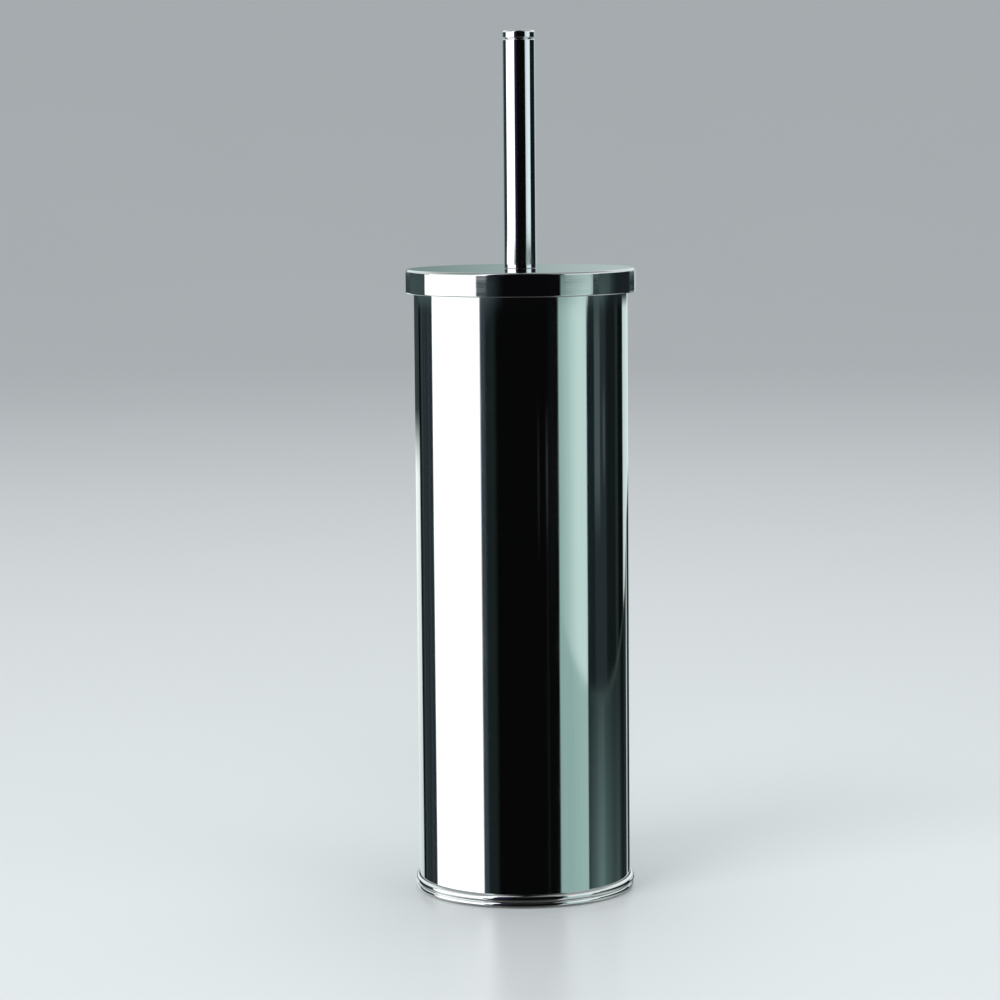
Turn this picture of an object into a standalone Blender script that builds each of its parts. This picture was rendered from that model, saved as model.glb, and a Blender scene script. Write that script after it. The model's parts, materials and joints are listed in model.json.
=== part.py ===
"""A covered toilet brush holder: a tall steel canister with a lift-out liner, and a lidded brush.

The brush hangs in the liner from its lid. The lid is held captive on the shaft, between the
handle's end and a lock nut, so the handle and brush turn in it. The origin is at the middle of
the foot ring's underside, +Z is up, and every length is in metres.
"""

import math

import bmesh
import bpy
from mathutils import Matrix

# Assembly gap between two pieces that touch or seat on each other.
GAP = 0.0003

# Broken edges, on moulded and turned pieces and on the tube's cut end.
MOULDED_EDGE = 0.0004
TURNED_EDGE = 0.0006
TUBE_EDGE = 0.0003

# Canister: a drawn tube with its rim rolled inwards.
CAN_RADIUS = 0.0465
CAN_RIM_HEIGHT = 0.2686
CAN_WALL = 0.0007
RIM_ROLL_WIDTH = 0.0018
RIM_ROLL_DEPTH = 0.0024
RIM_CREST_FILLET = 0.0008
RIM_FOOT_FILLET = 0.0005

# Base: trim ring with two beads, pressed plate and rubber foot ring.
FOOT_STANDOFF = 0.0005
FOOT_WIDTH = 0.0070
FOOT_FILLET = 0.0004
RING_SHEET = 0.0006
RING_LIP = 0.0025
RING_BEAD_WALL = 0.0004
UPPER_BEAD_HEIGHT = 0.0032
UPPER_BEAD_DEPTH = 0.0013
LOWER_BEAD_HEIGHT = 0.0021
LOWER_BEAD_DEPTH = 0.0008
PLATE_SHEET = 0.0008
PLATE_DEPTH = 0.0026
PLATE_EMBOSS_RADIUS = 0.0280
PLATE_EMBOSS_HEIGHT = 0.0010
PLATE_FILLET = 0.0008

# Liner: a tapered cup that hangs on the canister's rim by a turned-down collar.
LINER_WALL = 0.0012
LINER_PLAY = 0.0006
LINER_DRAFT = 0.0020
LINER_FLOOR = 0.0015
LINER_FLOOR_CLEARANCE = 0.0020
LINER_FLANGE = 0.0014
LINER_LIP_WALL = 0.0011
LINER_LIP_PLAY = 0.0004
LINER_LIP_DEPTH = 0.0035
LINER_LIP_FILLET = 0.0005
LINER_FLOOR_FILLET = 0.0030
LINER_RIB_COUNT = 4
LINER_RIB_HEIGHT = 0.0035
LINER_RIB_THICKNESS = 0.0016
LINER_RIB_LENGTH = 0.0200
LINER_RIB_INSET = 0.0060

# Lid: a pressed steel cap over a moulded insert that locates it in the liner's mouth.
LID_SHEET = 0.0008
LID_PLAY = 0.0012
LID_DEPTH = 0.0104
LID_EDGE_RADIUS = 0.0012
LID_HEM_WIDTH = 0.0014
LID_HEM_HEIGHT = 0.0018
LID_HEM_FILLET = 0.0006
INSERT_FLANGE = 0.0015
INSERT_PLAY = 0.0006
SPIGOT_PLAY = 0.0007
SPIGOT_WALL = 0.0012
SPIGOT_DEPTH = 0.0085
BOSS_RADIUS = 0.0090
BOSS_DEPTH = 0.0060
INSERT_RIB_COUNT = 6
INSERT_RIB_THICKNESS = 0.0014
INSERT_RIB_DEPTH = 0.0045

# Handle: a tube with a plug cap at the top and a threaded insert at the bottom.
HANDLE_LENGTH = 0.1027
HANDLE_RADIUS = 0.0070
HANDLE_WALL = 0.0010
CAP_HEAD = 0.0034
CAP_EDGE_RADIUS = 0.0009
CAP_NECK = 0.0004
CAP_NECK_INSET = 0.0006
CAP_SPIGOT = 0.0100
THREAD_INSERT_LENGTH = 0.0180
THREAD_INSERT_SET_BACK = 0.0006
THREAD_BORE_DEPTH = 0.0140

# Shaft with its lock nut and washer under the lid.
SHAFT_RADIUS = 0.0040
SHAFT_END_PLAY = 0.0010
WASHER_WIDTH = 0.0045
WASHER_THICKNESS = 0.0010
NUT_WIDTH = 0.0130
NUT_HEIGHT = 0.0050
NUT_CHAMFER = 0.0007

# Brush head: a moulded core, eight rows of tufts round it and a tufted nose below it.
CORE_WALL = 0.0029
CORE_COLLAR_HEIGHT = 0.0050
CORE_CONE_HEIGHT = 0.0080
CORE_NECK_HEIGHT = 0.0020
CORE_NECK_WALL = 0.0030
CORE_SHOULDER_FILLET = 0.0010
SOCKET_DEPTH = 0.0220
ROW_COUNT = 8
ROW_PITCH = 0.0080
ROW_RING_WALL = 0.0027
TUFTS_PER_ROW = 14
TUFT_ROOT_RADIUS = 0.0013
TUFT_TIP_RADIUS = 0.0028
TUFT_ROOT_DEPTH = 0.0011
BRISTLE_PLAY = 0.0028
BRISTLE_BARREL = 0.0060
BRISTLE_FLOOR_CLEARANCE = 0.0090
NOSE_HEIGHT = 0.0085
NOSE_TUFT_LENGTH = 0.0220
# Each ring of tufts on the nose: how many tufts, and how far they lean down from level.
NOSE_TUFT_RINGS = ((10, 32.0), (6, 62.0), (1, 90.0))

# Facets of the round shapes. A fillet takes one facet for each FILLET_FACET of its radius.
WIDE_SIDES = 48
NARROW_SIDES = 24
TUFT_SIDES = 5
FILLET_FACET = 0.0006
FILLET_MOST_FACETS = 3
BEAD_FACETS = 5
DOME_FACETS = 4

# Levels of the base, from the floor up.
PLATE_SEAT_Z = FOOT_STANDOFF + RING_SHEET + GAP
CAN_BOTTOM_Z = PLATE_SEAT_Z
PLATE_TOP_Z = PLATE_SEAT_Z + PLATE_DEPTH
LOWER_BEAD_Z = FOOT_STANDOFF + LOWER_BEAD_HEIGHT / 2
UPPER_BEAD_Z = FOOT_STANDOFF + LOWER_BEAD_HEIGHT + UPPER_BEAD_HEIGHT / 2
CAN_INNER_RADIUS = CAN_RADIUS - CAN_WALL
RING_BORE_RADIUS = CAN_RADIUS + GAP
RING_LIP_RADIUS = CAN_INNER_RADIUS - RING_LIP

# Liner sizes that follow the canister.
LINER_TOP_RADIUS = CAN_RADIUS - RIM_ROLL_WIDTH - LINER_PLAY
LINER_BOTTOM_RADIUS = LINER_TOP_RADIUS - LINER_DRAFT
LINER_UNDER_Z = PLATE_TOP_Z + PLATE_EMBOSS_HEIGHT + LINER_FLOOR_CLEARANCE
LINER_FLOOR_Z = LINER_UNDER_Z + LINER_FLOOR
LINER_FLANGE_Z = CAN_RIM_HEIGHT + GAP
LINER_TOP_Z = LINER_FLANGE_Z + LINER_FLANGE
LINER_LIP_BORE = CAN_RADIUS + LINER_LIP_PLAY
LINER_LIP_RADIUS = LINER_LIP_BORE + LINER_LIP_WALL

# Lid sizes that follow the liner.
INSERT_UNDER_Z = LINER_TOP_Z + GAP
INSERT_TOP_Z = INSERT_UNDER_Z + INSERT_FLANGE
LID_UNDER_Z = INSERT_TOP_Z + GAP
LID_TOP_Z = LID_UNDER_Z + LID_SHEET
LID_BORE = LINER_LIP_RADIUS + LID_PLAY
LID_RADIUS = LID_BORE + LID_SHEET
SHAFT_HOLE_RADIUS = SHAFT_RADIUS + GAP
SPIGOT_RADIUS = LINER_TOP_RADIUS - LINER_WALL - SPIGOT_PLAY
BOSS_UNDER_Z = INSERT_UNDER_Z - BOSS_DEPTH

# Handle levels, from the lid up.
HANDLE_BOTTOM_Z = LID_TOP_Z + GAP
HANDLE_TOP_Z = LID_TOP_Z + HANDLE_LENGTH
CAP_UNDER_Z = HANDLE_TOP_Z - CAP_HEAD
NECK_UNDER_Z = CAP_UNDER_Z - CAP_NECK
TUBE_TOP_Z = NECK_UNDER_Z - GAP
HANDLE_BORE = HANDLE_RADIUS - HANDLE_WALL
THREAD_INSERT_Z = HANDLE_BOTTOM_Z + THREAD_INSERT_SET_BACK

# Brush head levels, from the liner's floor up.
CORE_RADIUS = SHAFT_HOLE_RADIUS + CORE_WALL
ROW_BORE = CORE_RADIUS + GAP
ROW_RING_RADIUS = ROW_BORE + ROW_RING_WALL
BRISTLE_RADIUS = LINER_BOTTOM_RADIUS - LINER_WALL - BRISTLE_PLAY
NOSE_BOTTOM_Z = LINER_FLOOR_Z + LINER_RIB_HEIGHT + BRISTLE_FLOOR_CLEARANCE + NOSE_TUFT_LENGTH
CORE_BOTTOM_Z = NOSE_BOTTOM_Z + NOSE_HEIGHT + GAP
COLLAR_UNDER_Z = CORE_BOTTOM_Z + ROW_COUNT * ROW_PITCH
COLLAR_TOP_Z = COLLAR_UNDER_Z + CORE_COLLAR_HEIGHT
CONE_TOP_Z = COLLAR_TOP_Z + CORE_CONE_HEIGHT
CORE_TOP_Z = CONE_TOP_Z + CORE_NECK_HEIGHT
SOCKET_BOTTOM_Z = CORE_TOP_Z - SOCKET_DEPTH


def clear_scene():
    """Removes every object that the scene holds."""
    for obj in list(bpy.data.objects):
        bpy.data.objects.remove(obj, do_unlink=True)


def new_collection(name):
    """A collection of that name in the scene."""
    collection = bpy.data.collections.new(name)
    bpy.context.scene.collection.children.link(collection)
    return collection


def new_material(name, color, roughness, metallic):
    """A Principled material of one colour."""
    material = bpy.data.materials.new(name)
    material.use_nodes = True
    shader = material.node_tree.nodes["Principled BSDF"]
    shader.inputs["Base Color"].default_value = (*color, 1.0)
    shader.inputs["Roughness"].default_value = roughness
    shader.inputs["Metallic"].default_value = metallic
    return material


def place(name, mesh, collection, material=None):
    """An object of that name for a mesh, in a collection."""
    obj = bpy.data.objects.new(name, mesh)
    collection.objects.link(obj)
    if material is not None:
        mesh.materials.append(material)
    return obj


def as_helper(obj):
    """Marks an object that only shapes another one."""
    obj.hide_render = True
    obj.display_type = "WIRE"
    return obj


def rounded(points, closed):
    """The outline through points (radius, height[, fillet]), with an arc at each filleted corner."""
    outline = []
    count = len(points)
    for index, (x, z, *fillet) in enumerate(points):
        at_end = not closed and index in (0, count - 1)
        if not fillet or at_end:
            outline.append((x, z))
            continue
        before = points[index - 1]
        after = points[(index + 1) % count]
        outline.extend(corner_arc(before, (x, z), after, fillet[0]))
    return outline


def corner_arc(before, corner, after, radius):
    """Points of the arc of that radius which touches both sides of a corner."""
    toward_before = unit(before[0] - corner[0], before[1] - corner[1])
    toward_after = unit(after[0] - corner[0], after[1] - corner[1])
    cosine = toward_before[0] * toward_after[0] + toward_before[1] * toward_after[1]
    half_angle = math.acos(max(-1.0, min(1.0, cosine))) / 2
    reach = radius / math.sin(half_angle)
    middle = unit(toward_before[0] + toward_after[0], toward_before[1] + toward_after[1])
    centre = (corner[0] + middle[0] * reach, corner[1] + middle[1] * reach)
    tangent = radius / math.tan(half_angle)
    start = angle_from(centre, corner, toward_before, tangent)
    end = angle_from(centre, corner, toward_after, tangent)
    turn = (end - start + math.pi) % (2 * math.pi) - math.pi
    facets = min(FILLET_MOST_FACETS, math.ceil(radius / FILLET_FACET))
    angles = [start + turn * step / facets for step in range(facets + 1)]
    return [
        (centre[0] + radius * math.cos(angle), centre[1] + radius * math.sin(angle))
        for angle in angles
    ]


def unit(x, z):
    """The direction (x, z) at length one."""
    length = math.hypot(x, z)
    return x / length, z / length


def angle_from(centre, corner, direction, tangent):
    """The angle about centre of the point at that distance from the corner along a side."""
    x = corner[0] + direction[0] * tangent - centre[0]
    z = corner[1] + direction[1] * tangent - centre[1]
    return math.atan2(z, x)


def bead(base_radius, depth, middle_z, height):
    """A half-round bead that stands out from base_radius, from its top to its foot."""
    angles = [math.pi / 2 - math.pi * step / BEAD_FACETS for step in range(BEAD_FACETS + 1)]
    return [
        (base_radius + depth * math.cos(angle), middle_z + height / 2 * math.sin(angle))
        for angle in angles
    ]


def turned(name, outline, collection, material=None, sides=WIDE_SIDES):
    """A piece turned about Z from an outline that runs down its outside.

    The outline is a closed ring, or it starts and ends on the axis.
    """
    on_axis = outline[0][0] == 0.0
    count = len(outline)
    edges = [(index, index + 1) for index in range(count - 1)]
    if not on_axis:
        edges.append((count - 1, 0))
    mesh = bpy.data.meshes.new(name)
    mesh.from_pydata([(x, 0.0, z) for x, z in outline], edges, [])
    obj = place(name, mesh, collection, material)
    screw = obj.modifiers.new("Turn", "SCREW")
    screw.axis = "Z"
    screw.steps = sides
    screw.render_steps = sides
    screw.use_merge_vertices = True
    screw.merge_threshold = 0.000001
    screw.use_smooth_shade = True
    return obj


def joined(obj, helper):
    """Joins a helper's shape to an object, as one body."""
    union = obj.modifiers.new("Join " + helper.name, "BOOLEAN")
    union.operation = "UNION"
    union.solver = "EXACT"
    union.object = as_helper(helper)
    return obj


def bored(obj, helper):
    """Cuts a helper's shape out of an object."""
    cut = obj.modifiers.new("Cut " + helper.name, "BOOLEAN")
    cut.operation = "DIFFERENCE"
    cut.solver = "EXACT"
    cut.object = as_helper(helper)
    return obj


def evened(obj):
    """Evens the shading of a finished piece, so that its broad faces look flat or truly round."""
    obj.modifiers.new("Even shading", "WEIGHTED_NORMAL")


def radial_ribs(name, count, inner, outer, thickness, bottom, top, collection):
    """A helper of upright ribs that run outwards round the axis."""
    shape = bmesh.new()
    for index in range(count):
        turn = Matrix.Rotation(2 * math.pi * index / count, 4, "Z")
        middle = Matrix.Translation(((inner + outer) / 2, 0.0, (bottom + top) / 2))
        size = Matrix.Diagonal((outer - inner, thickness, top - bottom, 1.0))
        bmesh.ops.create_cube(shape, size=1.0, matrix=turn @ middle @ size)
    mesh = bpy.data.meshes.new(name)
    shape.to_mesh(mesh)
    shape.free()
    return place(name, mesh, collection)


def tufts(name, placements, collection):
    """A helper of tapered tufts, each given as (matrix, length), rooted at its matrix's origin."""
    shape = bmesh.new()
    for matrix, length in placements:
        lift = Matrix.Translation((0.0, 0.0, length / 2))
        bmesh.ops.create_cone(
            shape,
            cap_ends=True,
            segments=TUFT_SIDES,
            radius1=TUFT_ROOT_RADIUS,
            radius2=TUFT_TIP_RADIUS,
            depth=length,
            matrix=matrix @ lift,
        )
    mesh = bpy.data.meshes.new(name)
    shape.to_mesh(mesh)
    shape.free()
    return place(name, mesh, collection)


def leaning(azimuth, down):
    """A rotation that turns +Z outwards to an azimuth, leaning down from level, in radians."""
    return Matrix.Rotation(azimuth, 4, "Z") @ Matrix.Rotation(math.pi / 2 + down, 4, "Y")


def build_canister(parts, finishes):
    """The tube, the trim ring, the pressed plate and the foot ring."""
    inner = CAN_INNER_RADIUS
    roll = CAN_RADIUS - RIM_ROLL_WIDTH
    roll_bottom = CAN_RIM_HEIGHT - RIM_ROLL_DEPTH
    shell = [
        (CAN_RADIUS, CAN_RIM_HEIGHT, RIM_CREST_FILLET),
        (CAN_RADIUS, CAN_BOTTOM_Z),
        (inner, CAN_BOTTOM_Z),
        (inner, roll_bottom),
        (roll, roll_bottom, RIM_FOOT_FILLET),
        (roll, CAN_RIM_HEIGHT, RIM_CREST_FILLET),
    ]
    turned("canister_shell", rounded(shell, True), parts, finishes["polished steel"])

    bead_base = RING_BORE_RADIUS + RING_BEAD_WALL
    ring = [
        *bead(bead_base, UPPER_BEAD_DEPTH, UPPER_BEAD_Z, UPPER_BEAD_HEIGHT),
        *bead(bead_base, LOWER_BEAD_DEPTH, LOWER_BEAD_Z, LOWER_BEAD_HEIGHT)[1:],
        (RING_LIP_RADIUS, FOOT_STANDOFF),
        (RING_LIP_RADIUS, FOOT_STANDOFF + RING_SHEET),
        (RING_BORE_RADIUS, FOOT_STANDOFF + RING_SHEET),
        (RING_BORE_RADIUS, UPPER_BEAD_Z + UPPER_BEAD_HEIGHT / 2),
    ]
    turned("base_ring", ring, parts, finishes["chrome"])

    plate_radius = inner - GAP
    emboss_foot = PLATE_EMBOSS_RADIUS + PLATE_EMBOSS_HEIGHT
    plate = [
        (0.0, PLATE_TOP_Z + PLATE_EMBOSS_HEIGHT),
        (PLATE_EMBOSS_RADIUS, PLATE_TOP_Z + PLATE_EMBOSS_HEIGHT),
        (emboss_foot, PLATE_TOP_Z),
        (plate_radius, PLATE_TOP_Z, PLATE_FILLET),
        (plate_radius, PLATE_SEAT_Z),
        (plate_radius - PLATE_SHEET, PLATE_SEAT_Z),
        (plate_radius - PLATE_SHEET, PLATE_TOP_Z - PLATE_SHEET),
        (emboss_foot, PLATE_TOP_Z - PLATE_SHEET),
        (PLATE_EMBOSS_RADIUS, PLATE_TOP_Z + PLATE_EMBOSS_HEIGHT - PLATE_SHEET),
        (0.0, PLATE_TOP_Z + PLATE_EMBOSS_HEIGHT - PLATE_SHEET),
    ]
    turned("base_plate", rounded(plate, False), parts, finishes["plain steel"])

    foot_outer = RING_LIP_RADIUS - GAP
    foot_inner = foot_outer - FOOT_WIDTH
    foot_top = PLATE_TOP_Z - PLATE_SHEET - GAP
    foot = [
        (foot_outer, foot_top),
        (foot_outer, 0.0, FOOT_FILLET),
        (foot_inner, 0.0, FOOT_FILLET),
        (foot_inner, foot_top),
    ]
    turned("foot_ring", rounded(foot, True), parts, finishes["rubber"])


def build_liner(parts, helpers, finishes):
    """The lift-out cup, with a collar over the rim and ribs on its floor."""
    inner_top = LINER_TOP_RADIUS - LINER_WALL
    inner_bottom = LINER_BOTTOM_RADIUS - LINER_WALL
    cup = [
        (0.0, LINER_FLOOR_Z),
        (inner_bottom, LINER_FLOOR_Z, LINER_FLOOR_FILLET),
        (inner_top, LINER_TOP_Z, LINER_LIP_FILLET),
        (LINER_LIP_RADIUS, LINER_TOP_Z, LINER_LIP_FILLET),
        (LINER_LIP_RADIUS, LINER_FLANGE_Z - LINER_LIP_DEPTH),
        (LINER_LIP_BORE, LINER_FLANGE_Z - LINER_LIP_DEPTH),
        (LINER_LIP_BORE, LINER_FLANGE_Z),
        (LINER_TOP_RADIUS, LINER_FLANGE_Z),
        (LINER_BOTTOM_RADIUS, LINER_UNDER_Z, LINER_FLOOR_FILLET + LINER_WALL),
        (0.0, LINER_UNDER_Z),
    ]
    liner = turned("liner_cup", rounded(cup, False), parts, finishes["liner plastic"])
    rib_outer = inner_bottom - LINER_RIB_INSET
    ribs = radial_ribs(
        "liner_rib_helper",
        LINER_RIB_COUNT,
        rib_outer - LINER_RIB_LENGTH,
        rib_outer,
        LINER_RIB_THICKNESS,
        LINER_FLOOR_Z - LINER_FLOOR / 2,
        LINER_FLOOR_Z + LINER_RIB_HEIGHT,
        helpers,
    )
    joined(liner, ribs)


def build_lid(parts, helpers, finishes):
    """The steel cap and the moulded insert under it."""
    hem_bore = LID_RADIUS - LID_HEM_WIDTH
    skirt_bottom = LID_TOP_Z - LID_DEPTH
    hem_top = skirt_bottom + LID_HEM_HEIGHT
    shell = [
        (SHAFT_HOLE_RADIUS, LID_TOP_Z),
        (LID_RADIUS, LID_TOP_Z, LID_EDGE_RADIUS),
        (LID_RADIUS, skirt_bottom, LID_HEM_FILLET),
        (hem_bore, skirt_bottom, LID_HEM_FILLET),
        (hem_bore, hem_top),
        (LID_BORE, hem_top),
        (LID_BORE, LID_UNDER_Z, LID_EDGE_RADIUS - LID_SHEET),
        (SHAFT_HOLE_RADIUS, LID_UNDER_Z),
    ]
    turned("lid_shell", rounded(shell, True), parts, finishes["polished steel"])

    flange_radius = LID_BORE - INSERT_PLAY
    spigot_bore = SPIGOT_RADIUS - SPIGOT_WALL
    spigot_bottom = INSERT_UNDER_Z - SPIGOT_DEPTH
    moulding = [
        (SHAFT_HOLE_RADIUS, INSERT_TOP_Z),
        (flange_radius, INSERT_TOP_Z),
        (flange_radius, INSERT_UNDER_Z),
        (SPIGOT_RADIUS, INSERT_UNDER_Z),
        (SPIGOT_RADIUS, spigot_bottom, MOULDED_EDGE),
        (spigot_bore, spigot_bottom, MOULDED_EDGE),
        (spigot_bore, INSERT_UNDER_Z),
        (BOSS_RADIUS, INSERT_UNDER_Z),
        (BOSS_RADIUS, BOSS_UNDER_Z, MOULDED_EDGE),
        (SHAFT_HOLE_RADIUS, BOSS_UNDER_Z),
    ]
    insert = turned("lid_insert", rounded(moulding, True), parts, finishes["insert plastic"])
    ribs = radial_ribs(
        "insert_rib_helper",
        INSERT_RIB_COUNT,
        BOSS_RADIUS - SPIGOT_WALL,
        spigot_bore + SPIGOT_WALL / 2,
        INSERT_RIB_THICKNESS,
        INSERT_UNDER_Z - INSERT_RIB_DEPTH,
        INSERT_UNDER_Z + INSERT_FLANGE / 2,
        helpers,
    )
    joined(insert, ribs)


def build_handle(parts, finishes):
    """The handle tube, its plug cap and its threaded insert."""
    tube = [
        (HANDLE_RADIUS, TUBE_TOP_Z, TUBE_EDGE),
        (HANDLE_RADIUS, HANDLE_BOTTOM_Z),
        (HANDLE_BORE, HANDLE_BOTTOM_Z),
        (HANDLE_BORE, TUBE_TOP_Z),
    ]
    turned("handle_tube", rounded(tube, True), parts, finishes["chrome"], NARROW_SIDES)

    neck_radius = HANDLE_RADIUS - CAP_NECK_INSET
    spigot_radius = HANDLE_BORE - GAP
    cap = [
        (0.0, HANDLE_TOP_Z),
        (HANDLE_RADIUS, HANDLE_TOP_Z, CAP_EDGE_RADIUS),
        (HANDLE_RADIUS, CAP_UNDER_Z, TUBE_EDGE),
        (neck_radius, CAP_UNDER_Z),
        (neck_radius, NECK_UNDER_Z),
        (spigot_radius, NECK_UNDER_Z),
        (spigot_radius, NECK_UNDER_Z - CAP_SPIGOT, TURNED_EDGE),
        (0.0, NECK_UNDER_Z - CAP_SPIGOT),
    ]
    turned("handle_cap", rounded(cap, False), parts, finishes["chrome"], NARROW_SIDES)

    insert_top = THREAD_INSERT_Z + THREAD_INSERT_LENGTH
    bore_top = THREAD_INSERT_Z + THREAD_BORE_DEPTH
    insert = [
        (0.0, insert_top),
        (spigot_radius, insert_top, TURNED_EDGE),
        (spigot_radius, THREAD_INSERT_Z),
        (SHAFT_HOLE_RADIUS, THREAD_INSERT_Z),
        (SHAFT_HOLE_RADIUS, bore_top),
        (0.0, bore_top),
    ]
    turned("handle_insert", rounded(insert, False), parts, finishes["brass"], NARROW_SIDES)


def build_shaft(parts, helpers, finishes):
    """The shaft from the handle's insert to the brush core, with its washer and lock nut."""
    shaft_top = THREAD_INSERT_Z + THREAD_BORE_DEPTH - SHAFT_END_PLAY
    shaft_bottom = SOCKET_BOTTOM_Z + SHAFT_END_PLAY
    shaft = [
        (0.0, shaft_top),
        (SHAFT_RADIUS - TURNED_EDGE, shaft_top),
        (SHAFT_RADIUS, shaft_top - TURNED_EDGE),
        (SHAFT_RADIUS, shaft_bottom + TURNED_EDGE),
        (SHAFT_RADIUS - TURNED_EDGE, shaft_bottom),
        (0.0, shaft_bottom),
    ]
    turned("shaft_rod", shaft, parts, finishes["plain steel"], NARROW_SIDES)

    washer_top = BOSS_UNDER_Z - GAP
    washer_bottom = washer_top - WASHER_THICKNESS
    washer_radius = SHAFT_HOLE_RADIUS + WASHER_WIDTH
    washer = [
        (washer_radius, washer_top),
        (washer_radius, washer_bottom),
        (SHAFT_HOLE_RADIUS, washer_bottom),
        (SHAFT_HOLE_RADIUS, washer_top),
    ]
    turned("lock_washer", washer, parts, finishes["plain steel"], NARROW_SIDES)

    nut_top = washer_bottom - GAP
    nut_middle = nut_top - NUT_HEIGHT / 2
    corner_radius = NUT_WIDTH / 2 / math.cos(math.pi / 6)
    shape = bmesh.new()
    bmesh.ops.create_cone(
        shape,
        cap_ends=True,
        segments=6,
        radius1=corner_radius,
        radius2=corner_radius,
        depth=NUT_HEIGHT,
        matrix=Matrix.Translation((0.0, 0.0, nut_middle)),
    )
    mesh = bpy.data.meshes.new("lock_nut")
    shape.to_mesh(mesh)
    shape.free()
    nut = place("lock_nut", mesh, parts, finishes["plain steel"])
    # The chamfer on a nut is a cone round its axis, which takes off only the six corners.
    half = NUT_HEIGHT / 2
    chamfer_radius = corner_radius + NUT_CHAMFER
    envelope = [
        (0.0, nut_middle + half + GAP),
        (NUT_WIDTH / 2 - GAP, nut_middle + half + GAP),
        (chamfer_radius, nut_middle + half - NUT_CHAMFER),
        (chamfer_radius, nut_middle - half + NUT_CHAMFER),
        (NUT_WIDTH / 2 - GAP, nut_middle - half - GAP),
        (0.0, nut_middle - half - GAP),
    ]
    trim = nut.modifiers.new("Trim corners", "BOOLEAN")
    trim.operation = "INTERSECT"
    trim.solver = "EXACT"
    trim.object = as_helper(turned("nut_trim_helper", envelope, helpers, None, NARROW_SIDES))
    bore = [
        (0.0, nut_top + NUT_HEIGHT),
        (SHAFT_HOLE_RADIUS, nut_top + NUT_HEIGHT),
        (SHAFT_HOLE_RADIUS, nut_top - 2 * NUT_HEIGHT),
        (0.0, nut_top - 2 * NUT_HEIGHT),
    ]
    bored(nut, turned("nut_bore_helper", bore, helpers, None, NARROW_SIDES))


def build_brush_head(parts, helpers, finishes):
    """The moulded core, its rows of tufts and its tufted nose."""
    core = [
        (0.0, SOCKET_BOTTOM_Z),
        (SHAFT_HOLE_RADIUS, SOCKET_BOTTOM_Z),
        (SHAFT_HOLE_RADIUS, CORE_TOP_Z),
        (SHAFT_HOLE_RADIUS + CORE_NECK_WALL, CORE_TOP_Z, MOULDED_EDGE),
        (SHAFT_HOLE_RADIUS + CORE_NECK_WALL, CONE_TOP_Z),
        (ROW_RING_RADIUS, COLLAR_TOP_Z, CORE_SHOULDER_FILLET),
        (ROW_RING_RADIUS, COLLAR_UNDER_Z),
        (CORE_RADIUS, COLLAR_UNDER_Z),
        (CORE_RADIUS, CORE_BOTTOM_Z),
        (0.0, CORE_BOTTOM_Z),
    ]
    turned("brush_core", rounded(core, False), parts, finishes["core plastic"], NARROW_SIDES)

    middle_row = (ROW_COUNT - 1) / 2
    for row in range(ROW_COUNT):
        top = COLLAR_UNDER_Z - GAP - row * ROW_PITCH
        bottom = top - ROW_PITCH + GAP
        ring = [
            (ROW_RING_RADIUS, top),
            (ROW_RING_RADIUS, bottom),
            (ROW_BORE, bottom),
            (ROW_BORE, top),
        ]
        name = f"bristle_row_{row + 1}"
        band = turned(name, ring, parts, finishes["bristle"], NARROW_SIDES)
        from_middle = (row - middle_row) / middle_row
        reach = BRISTLE_RADIUS - BRISTLE_BARREL * from_middle**2
        root = ROW_RING_RADIUS - TUFT_ROOT_DEPTH
        placements = []
        for index in range(TUFTS_PER_ROW):
            azimuth = 2 * math.pi * (index + 0.5 * (row % 2)) / TUFTS_PER_ROW
            outwards = leaning(azimuth, 0.0)
            start = Matrix.Translation((0.0, 0.0, (top + bottom) / 2)) @ outwards
            start = start @ Matrix.Translation((0.0, 0.0, root))
            placements.append((start, reach - root))
        joined(band, tufts(f"{name}_helper", placements, helpers))

    build_nose(parts, helpers, finishes)


def build_nose(parts, helpers, finishes):
    """The domed nose below the core, with its tufts fanning out and down."""
    nose_top = CORE_BOTTOM_Z - GAP
    dome = [(0.0, nose_top), (ROW_RING_RADIUS, nose_top)]
    for step in range(1, DOME_FACETS):
        angle = math.pi / 2 * step / DOME_FACETS
        across = ROW_RING_RADIUS * math.cos(angle)
        dome.append((across, nose_top - NOSE_HEIGHT * math.sin(angle)))
    dome.append((0.0, nose_top - NOSE_HEIGHT))
    nose = turned("bristle_nose", dome, parts, finishes["bristle"], NARROW_SIDES)

    placements = []
    for count, down_degrees in NOSE_TUFT_RINGS:
        down = math.radians(down_degrees)
        surface = math.hypot(ROW_RING_RADIUS * math.cos(down), NOSE_HEIGHT * math.sin(down))
        root = surface - 2 * TUFT_ROOT_DEPTH
        for index in range(count):
            azimuth = 2 * math.pi * (index + 0.5) / count
            start = Matrix.Translation((0.0, 0.0, nose_top)) @ leaning(azimuth, down)
            start = start @ Matrix.Translation((0.0, 0.0, root))
            placements.append((start, NOSE_TUFT_LENGTH + surface - root))
    joined(nose, tufts("bristle_nose_helper", placements, helpers))


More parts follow.
